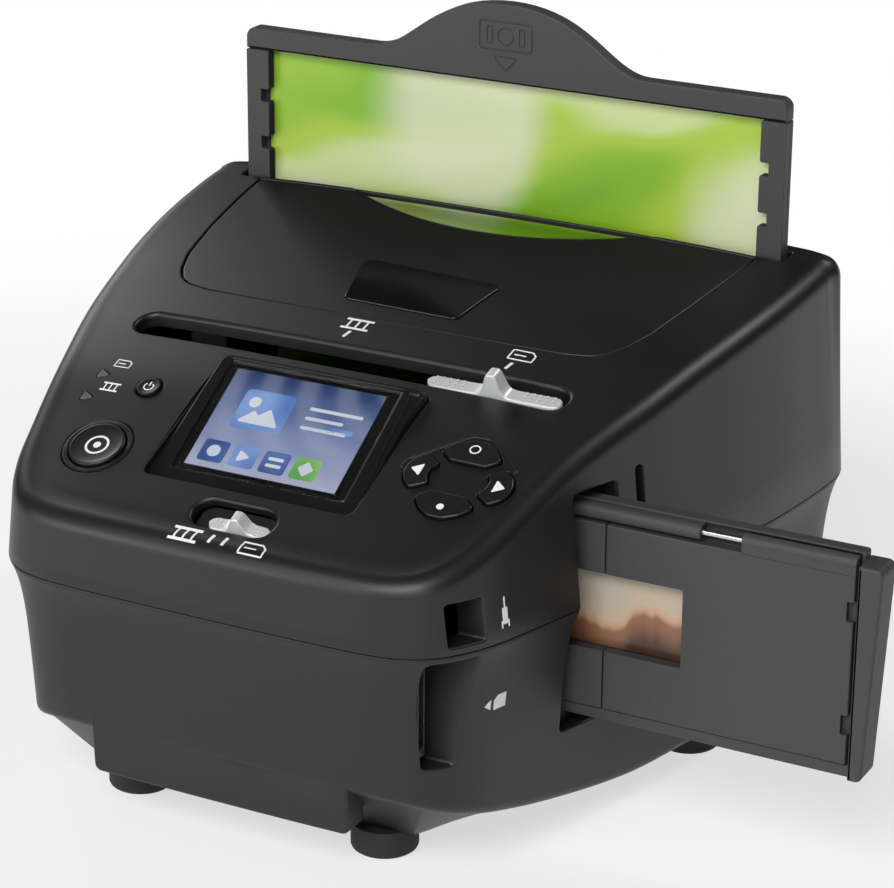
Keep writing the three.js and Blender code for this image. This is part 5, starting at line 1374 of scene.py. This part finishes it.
# Film holder
FRAME_FRONT, LID_FRONT, LID_REAR, HOLDER_REAR = 17.6, 14.0, 17.3, 22.0
BARREL_Y, BARREL_Z, BARREL_R, PIN_R, PIN_ROOM = 16.2, 102.8, 2.3, 0.9, 0.3
HOLDER_LEFT, HOLDER_RIGHT, HOLDER_BOTTOM, HOLDER_TOP = -50, 171.3, 38.8, 105.8
LEAF_BOTTOM, LEAF_TOP, LID_LEFT, LID_RIGHT = 42.9, 100, 95.5, 170
BARREL_END, KNUCKLE_LEFT, STRIP_FRONT, STRIP_REAR = 123.9, 136.3, 18.15, 18.3


def rod(name, low, high, radius, round_end=0.3, count=48):
    """Round bar along x at the hinge, with rounded ends."""
    profile = [(radius - round_end, low), (radius - 0.3 * round_end, low + 0.3 * round_end),
               (radius, low + round_end), (radius, high - round_end),
               (radius - 0.3 * round_end, high - 0.3 * round_end), (radius - round_end, high)]
    rings = []
    for size, x in profile:
        ring = circle(BARREL_Y, BARREL_Z, size, count)
        rings.append(np.column_stack([np.full(count, x), ring]))
    return outward(loft(name, rings, [low, BARREL_Y, BARREL_Z], [high, BARREL_Y, BARREL_Z]))


def film_openings(front, rear, windows, grow=0.0, radius=0.6):
    """Tools for the windows over the frames of the film."""
    outlines = [centred(x, WINDOW_Z, WINDOW_HALF_X + grow, WINDOW_HALF_Z + grow, radius) for x in windows]
    return [slab("tool", outline, front_place, rear, front) for outline in outlines]


plate = slab("film_frame", box_outline(HOLDER_LEFT, HOLDER_BOTTOM, HOLDER_RIGHT, HOLDER_TOP, 0.8),
             front_place, HOLDER_REAR, FRAME_FRONT, 0.5, 0.3)
bottom_lip = slab("lip", box_outline(HOLDER_LEFT, HOLDER_BOTTOM, HOLDER_RIGHT, 42.5, 0.5), front_place,
                  FRAME_FRONT + 0.6, 15, 0, 0.5)
barrel = rod("barrel", HOLDER_LEFT, BARREL_END, BARREL_R)
holder_frame = combine(plate, [bottom_lip, barrel], "UNION")
combine(holder_frame, [
    rod("tool", BARREL_END, 170.4, BARREL_R + 0.6, 0), rod("tool", 89.7, 190, PIN_R + PIN_ROOM, 0),
    slab("tool", box_outline(-47, 55.3, 167.4, 90.7), front_place, 18.6, 17),
    *film_openings(16, 24, WINDOWS), *film_openings(21.2, 24, WINDOWS, 1.2, 1.0),
])
fit(shade(holder_frame, 36), "film_holder", CHARCOAL, "charcoal_plastic", "holder_frame")

GRIP = rounded([(171, HOLDER_BOTTOM), (175.2, HOLDER_BOTTOM), (178.4, 103.4), (171, 103.4)],
               [0.5, 2.0, 2.2, 0.5], 8)
grip_bar = slab("film_frame_grip", spaced(GRIP, 5), front_place, 23.2, 12.6, 1.0, 1.0)
fit(shade(grip_bar, 38), "film_holder", CHARCOAL, "charcoal_plastic", "holder_frame")

inner_leaf = slab("film_inner_leaf", box_outline(HOLDER_LEFT, LEAF_BOTTOM, LID_LEFT - GAP, LEAF_TOP, 0.5),
                  front_place, LID_REAR, LID_FRONT, 0, 0.4)
combine(inner_leaf, film_openings(13, 19, WINDOWS))
fit(shade(inner_leaf, 36), "film_holder", CHARCOAL, "charcoal_plastic", "holder_inner_leaf")

lid_leaf = slab("film_lid_leaf", box_outline(LID_LEFT, LEAF_BOTTOM, LID_RIGHT, LEAF_TOP, 0.7),
                front_place, LID_REAR, LID_FRONT, 0, 0.5)
web = slab("web", box_outline(KNUCKLE_LEFT, LEAF_TOP - 0.6, LID_RIGHT, BARREL_Z, 0.2), front_place, BARREL_Y,
           LID_FRONT, 0, 0.3)
knuckle = rod("knuckle", KNUCKLE_LEFT, LID_RIGHT, BARREL_R)
film_lid = combine(lid_leaf, [web, knuckle], "UNION")
combine(film_lid, [rod("tool", 136, 169.4, PIN_R + PIN_ROOM, 0), *film_openings(13, 19, WINDOWS[:1])])
combine(film_lid, [slab("tool", box_outline(167.9, low, 171, low + 6, 0.5), front_place, 16, 13)
                   for low in (52, 86)])
fit(shade(film_lid, 36), "holder_cover", CHARCOAL, "charcoal_plastic", "holder_lid")

pin = rod("film_hinge_pin", 90, 169.1, PIN_R, 0.2, 32)
fit(shade(pin, 40), "film_holder", STEEL, "steel", "hinge_pin")

strip = slab("film_strip_base", box_outline(-46.7, 55.5, 167.1, 90.5, 0.6), front_place, STRIP_REAR,
             STRIP_FRONT)
holes = studs("tool", 45, 2, length=209.0, width=30.2, radius=1.35, height=3.0, finish=FILM, tip=1.0)
spot = (np.array([60.2, 19.7, WINDOW_Z]) + ORIGIN) * MM
moved(holes, Matrix.Translation(Vector(spot)) @ Matrix.Rotation(math.pi / 2, 4, "X"))
combine(strip, [holes])
fit(shade(strip), "film_holder", FILM, "film", "film_strip")


# Feet and screws
def upright_round(name, x, y, profile, count=64):
    """Round body standing at x, y: profile lists radius and height."""
    rings = [np.column_stack([circle(x, y, radius, count), np.full(count, z)])
             for radius, z in profile if radius]
    return outward(loft(name, rings, [x, y, profile[0][1]], [x, y, profile[-1][1]]))


FOOT_PROFILE = [
    (0, 1.1), (3.0, 1.0), (4.6, 0.5), (5.4, 0.3), (6.1, 0.6), (6.8, 0.3), (8.4, 0), (9.1, 0.15), (9.7, 0.6),
    (10.0, 1.3), (10.0, 7.6), (9.8, 8.5), (0, 8.5)]
for number, (x, y) in enumerate(FEET, 1):
    pad = shade(upright_round("rubber_foot_" + str(number), x, y, FOOT_PROFILE), 45)
    fit(pad, "housing", RUBBER, "rubber", "foot_" + str(number))


def cross_screw(name, x, y):
    """Screw with a cross cut into its head."""
    profile = [(0, 8.4), (2.4, 8.45), (2.8, 8.6), (3.0, 8.9), (3.0, HEAD_SEAT_Z), (1.5, HEAD_SEAT_Z),
               (1.4, 18.2), (0, 18.7)]
    made = upright_round(name, x, y, profile, 32)
    tools = [upright_tool(centred(x, y, a, b), 0, 8.0, 9.3) for a, b in ((1.7, 0.28), (0.28, 1.7))]
    return combine(made, tools)


# Raised lines and printed marks
RIDGE_PAD = [(-18.5, -1.6), (-17.6, 3.5), (-9.3, 11.4), (-3.2, 17.2), (2.3, 17.5), (10.2, 11.6), (17.5, 5.1)]
path = rounded(shifted(RIDGE_PAD, PAD_U, PAD_V), 3.0, 5)
pad_line = ridge("pad_raised_line", path[3:-3], panel_skin(), 1.0, 0.4)
fit(shade(pad_line, 50), "housing", BLACK, "black_plastic", "upper_housing")


def ink(outline, place, thick, step=0.8):
    """Film of print that follows a curved surface: an outline split into small triangles."""
    work = bmesh.new()
    work.faces.new([work.verts.new((u, v, 0)) for u, v in outline])
    bmesh.ops.triangulate(work, faces=work.faces[:])
    for _ in range(5):
        wide = [edge for edge in work.edges if edge.calc_length() > step]
        if wide:
            bmesh.ops.subdivide_edges(work, edges=wide, cuts=1)
            bmesh.ops.triangulate(work, faces=work.faces[:])
    work.verts.index_update()
    flat = np.array([corner.co[:2] for corner in work.verts])
    count = len(flat)
    faces = [[corner.index for corner in face.verts] for face in work.faces]
    rim = [(side.vert.index, side.link_loop_next.vert.index)
           for face in work.faces for side in face.loops if side.edge.is_boundary]
    work.free()
    points = np.concatenate([place(flat, -thick), place(flat, 0.1)])
    sides = [(b, a, a + count, b + count) for a, b in rim]
    backs = [[k + count for k in reversed(face)] for face in faces]
    return outward(mesh_object("mark", points, faces + backs + sides))


def printed(name, outlines, place, thick=0.05, body="housing"):
    """Thin print on a surface, as one piece from several outlines."""
    made = joined(name, [ink(np.asarray(outline, float), place, thick) for outline in outlines])
    return fit(shade(made), body, MARK, "")


def stroke(points, width):
    """Outline of a line of even width through points."""
    points = np.asarray(points, float)
    along = np.gradient(points, axis=0)
    along /= np.linalg.norm(along, axis=1, keepdims=True)
    across = np.stack([-along[:, 1], along[:, 0]], axis=1) * width / 2
    return np.concatenate([points - across, (points + across)[::-1]])


def loop(outline, width):
    """Two half outlines that together draw a closed line."""
    points = np.asarray(outline, float)
    half = len(points) // 2
    return [stroke(points[:half + 1], width), stroke(np.concatenate([points[half:], points[:1]]), width)]


def film_sign(x, y, size):
    """Strip of film: two rails and three bars between them."""
    rails = [centred(x, y + side * size * 0.5, size, size * 0.1) for side in (-1, 1)]
    return rails + [centred(x + k * size * 0.62, y, size * 0.07, size * 0.42) for k in (-1, 0, 1)]


def print_sign(x, y, size):
    """Sheet with a cut corner and a line on it."""
    sheet = [(x - size, y - size * 0.6), (x + size, y - size * 0.6), (x + size, y + size * 0.2),
             (x + size * 0.6, y + size * 0.6), (x - size, y + size * 0.6)]
    line = centred(x - size * 0.2, y, size * 0.5, size * 0.07)
    return [*loop(spaced(np.array(sheet), size * 0.3), size * 0.14), line]


def shell_place(flat, depth):
    """Panel outlines on the real shell, its rounded edge included."""
    out = Vector((0, -SIN, COS))
    spots = []
    for u, v in flat:
        start = Vector((on_panel(u, v, 12.0) + ORIGIN) * MM)
        hit = upper_guide.reach_from(start, -out) - out * depth * MM
        spots.append(np.array(hit) / MM - ORIGIN)
    return np.array(spots)


panel_marks = [stroke([(-0.3, -47.4), (-0.2, -43.9)], 1.0), stroke([(4.1, -47.4), (4.2, -43.9)], 1.0),
               *film_sign(-8.6, -46.0, 4.6), *print_sign(13.6, -46.2, 3.8),
               *print_sign(-64.6, 14.0, 2.6), *film_sign(-63.0, 3.4, 3.0)]
printed("panel_marks", panel_marks, shell_place, 0.08)
roof_marks = [stroke([(-6.2, 43.4), (-5.5, 46.8)], 1.0), stroke([(48.5, 42.8), (49.2, 46.2)], 1.0),
              *film_sign(-5.2, 50.6, 4.6), *print_sign(50.4, 50.4, 3.9)]
printed("roof_marks", roof_marks, roof_skin())
PAD_MARK_OFF = 11.6
arrows = {
    "left": [(-14.8, 0.1), (-11.4, -2.3), (-11.4, 2.5)],
    "right": [(14.8, -0.1), (11.4, 2.3), (11.4, -2.5)],
}
for side, corners in arrows.items():
    printed("pad_mark_" + side, [rounded(shifted(corners, PAD_U, PAD_V), 0.25, 3)], panel_skin(PAD_LIFT),
            body="pad_key_" + side)
printed("pad_mark_up", loop(circle(PAD_U, PAD_V + PAD_MARK_OFF, 1.5, 32), 0.45), panel_skin(PAD_LIFT),
        body="pad_key_up")
printed("pad_mark_down", [circle(PAD_U, PAD_V - PAD_MARK_OFF, 1.1, 32)], panel_skin(PAD_LIFT),
        body="pad_key_down")
printed("scan_mark", [*loop(circle(SCAN_U, SCAN_V, 3.4, 48), 0.7), circle(SCAN_U, SCAN_V, 1.2, 32)],
        panel_skin(0.4), body="scan_key")
turn = np.linspace(math.radians(130), math.radians(410), 25)
power_arc = np.stack([POWER_U + 1.5 * np.cos(turn), POWER_V + 1.5 * np.sin(turn)], axis=1)
power_stem = [(POWER_U, POWER_V + 0.4), (POWER_U, POWER_V + 2.1)]
power_lines = (power_arc[:9], power_arc[8:17], power_arc[16:], power_stem)
printed("power_mark", [stroke(line, 0.4) for line in power_lines], panel_skin(0.46), body="power_key")
plug = [centred(-20.2, 82.6, 0.9, 2.4, 0.2), stroke([(-20.2, 85.0), (-20.2, 88.2)], 0.4),
        stroke([(-21.4, 81.2), (-21.4, 79.2)], 0.4), stroke([(-19.0, 81.2), (-19.0, 79.2)], 0.4)]
printed("plug_mark", plug, wall_place, 0.1)
card = [rounded([(-22.6, 54.4), (-20.4, 52.8), (-20.4, 56.0)], 0.1, 2),
        rounded([(-19.2, 52.4), (-14.8, 52.4), (-14.8, 56.8), (-17.8, 56.8), (-19.2, 55.4)], 0.2, 2)]
printed("card_mark", card, wall_place, 0.1)

# Finishes of the inner parts
INSIDES = [
    (INNER, "chassis", "film_gate", "tray_guide_left", "tray_guide_right", "camera_body", "camera_stand",
     "lens_carriage", "light_carriage"),
    (LENS, "camera_lens", "close_up_lens"),
    (DIFFUSER, "film_backlight", "photo_lamp_left", "photo_lamp_right"),
    (BOARD, "control_board", "main_board", "port_board"),
    (STEEL, "card_socket", "usb_socket"),
]
for finish, *names in INSIDES:
    for name in names:
        paint(nodes[name], finish)
for number, (x, y) in enumerate(SCREWS, 1):
    screw = shade(cross_screw("bottom_screw_" + str(number), x, y), 40)
    fit(screw, "housing", STEEL, "steel", "case_screw_" + str(number))


# Floor, light and camera
FLOOR_HALF = 9000.0


def seen_by(tree, *rays):
    """1 for the named kinds of ray and 0 for all others."""
    path = add_node(tree, "ShaderNodeLightPath")
    seen = path.outputs[rays[0]]
    for ray in rays[1:]:
        seen = maths(tree, "MAXIMUM", seen, path.outputs[ray])
    return seen


def studio_floor():
    """Floor that shows white, grey close to the object, and takes the object's shadow."""
    square = np.array([(-1, -1), (1, -1), (1, 1), (-1, 1)]) * FLOOR_HALF
    floor = loft("floor", [np.column_stack([square, np.full(4, z)]) for z in (-0.5, 0)])
    made, tree, shader = material("pale_floor", Roughness=0.7, Specular_IOR_Level=0.2)
    place = object_place(tree)
    spot = add_node(tree, "ShaderNodeMapping", {"Vector": place, "Scale": (1 / 0.34, 1 / 0.27, 1)})
    ring = add_node(tree, "ShaderNodeVectorMath", {0: spot.outputs["Vector"]}, operation="LENGTH")
    fade = spread_over(tree, ring.outputs["Value"], {
        "From Min": 0.95, "From Max": 1.9, "To Min": 0.64, "To Max": 1.0}, interpolation_type="SMOOTHSTEP")
    mottle = add_node(tree, "ShaderNodeTexNoise", {"Vector": place, "Scale": 3.0})
    tone = ramp(tree, mottle.outputs["Fac"], [(0.0, (0.86, 0.86, 0.86)), (1.0, (0.88, 0.88, 0.88))])
    feed(tree, shader, {"Base Color": tone})
    seen = seen_by(tree, "Is Camera Ray", "Is Glossy Ray", "Is Transmission Ray")
    white = add_node(tree, "ShaderNodeEmission", {"Strength": 1.0})
    mix = add_node(tree, "ShaderNodeMixShader", {
        "Fac": maths(tree, "MULTIPLY", seen, fade), 1: shader.outputs[0], 2: white.outputs[0]})
    feed(tree, tree.nodes["Material Output"], {"Surface": mix.outputs[0]})
    paint(floor, made)


def studio_world():
    """Full strength to the camera and through glass, and faint light on the object."""
    world = bpy.data.worlds.new("studio")
    world.use_nodes = True
    tree = world.node_tree
    seen = seen_by(tree, "Is Camera Ray", "Is Transmission Ray")
    level = spread_over(tree, seen, {"To Min": 0.03, "To Max": 1.0})
    feed(tree, tree.nodes["Background"], {"Strength": level})
    bpy.context.scene.world = world


def softbox(name, spot, aim, width, height, power):
    lamp = bpy.data.lights.new(name, "AREA")
    lamp.shape, lamp.size, lamp.size_y, lamp.energy = "RECTANGLE", width, height, power
    made = bpy.data.objects.new(name, lamp)
    made.location = spot
    made.rotation_euler = (Vector(aim) - Vector(spot)).to_track_quat("-Z", "Y").to_euler()
    bpy.context.scene.collection.objects.link(made)


studio_floor()
studio_world()
softbox("left_rear_softbox", (-1.3, 0.8, 0.85), (-0.1, 0.05, 0.1), 0.7, 0.8, 6)
softbox("right_rear_softbox", (0.62, 0.85, 1.35), (0.05, 0, 0.1), 0.45, 0.6, 7)
softbox("front_left_softbox", (-1.2, -1.6, 0.45), (0, 0, 0.08), 0.9, 0.6, 11)
softbox("front_right_softbox", (1.0, -1.7, 0.55), (0, -0.05, 0.06), 1.0, 0.7, 5)
softbox("front_top_softbox", (0.1, -1.45, 1.35), (0, -0.15, 0), 1.4, 0.8, 31)

SENSOR_WIDTH, FOCAL_SHARE = 36.0, 3171.984 / 894
CAMERA_SPOT = (0.4085, -0.7867, 0.4417)
CAMERA_TURN, CAMERA_ROLL = math.radians(27.798358), math.radians(0.429304)
CAMERA_DIP = math.radians(90 - 21.1278)
lens = bpy.data.cameras.new("camera")
lens.sensor_width, lens.lens = SENSOR_WIDTH, FOCAL_SHARE * SENSOR_WIDTH
lens.clip_start, lens.clip_end = 0.05, 50
camera = bpy.data.objects.new("camera", lens)
camera.matrix_world = (Matrix.Translation(CAMERA_SPOT) @ Matrix.Rotation(CAMERA_TURN, 4, "Z")
                       @ Matrix.Rotation(CAMERA_DIP, 4, "X") @ Matrix.Rotation(CAMERA_ROLL, 4, "Z"))
bpy.context.scene.collection.objects.link(camera)
bpy.context.scene.camera = camera
bpy.context.scene.view_settings.view_transform = "Standard"
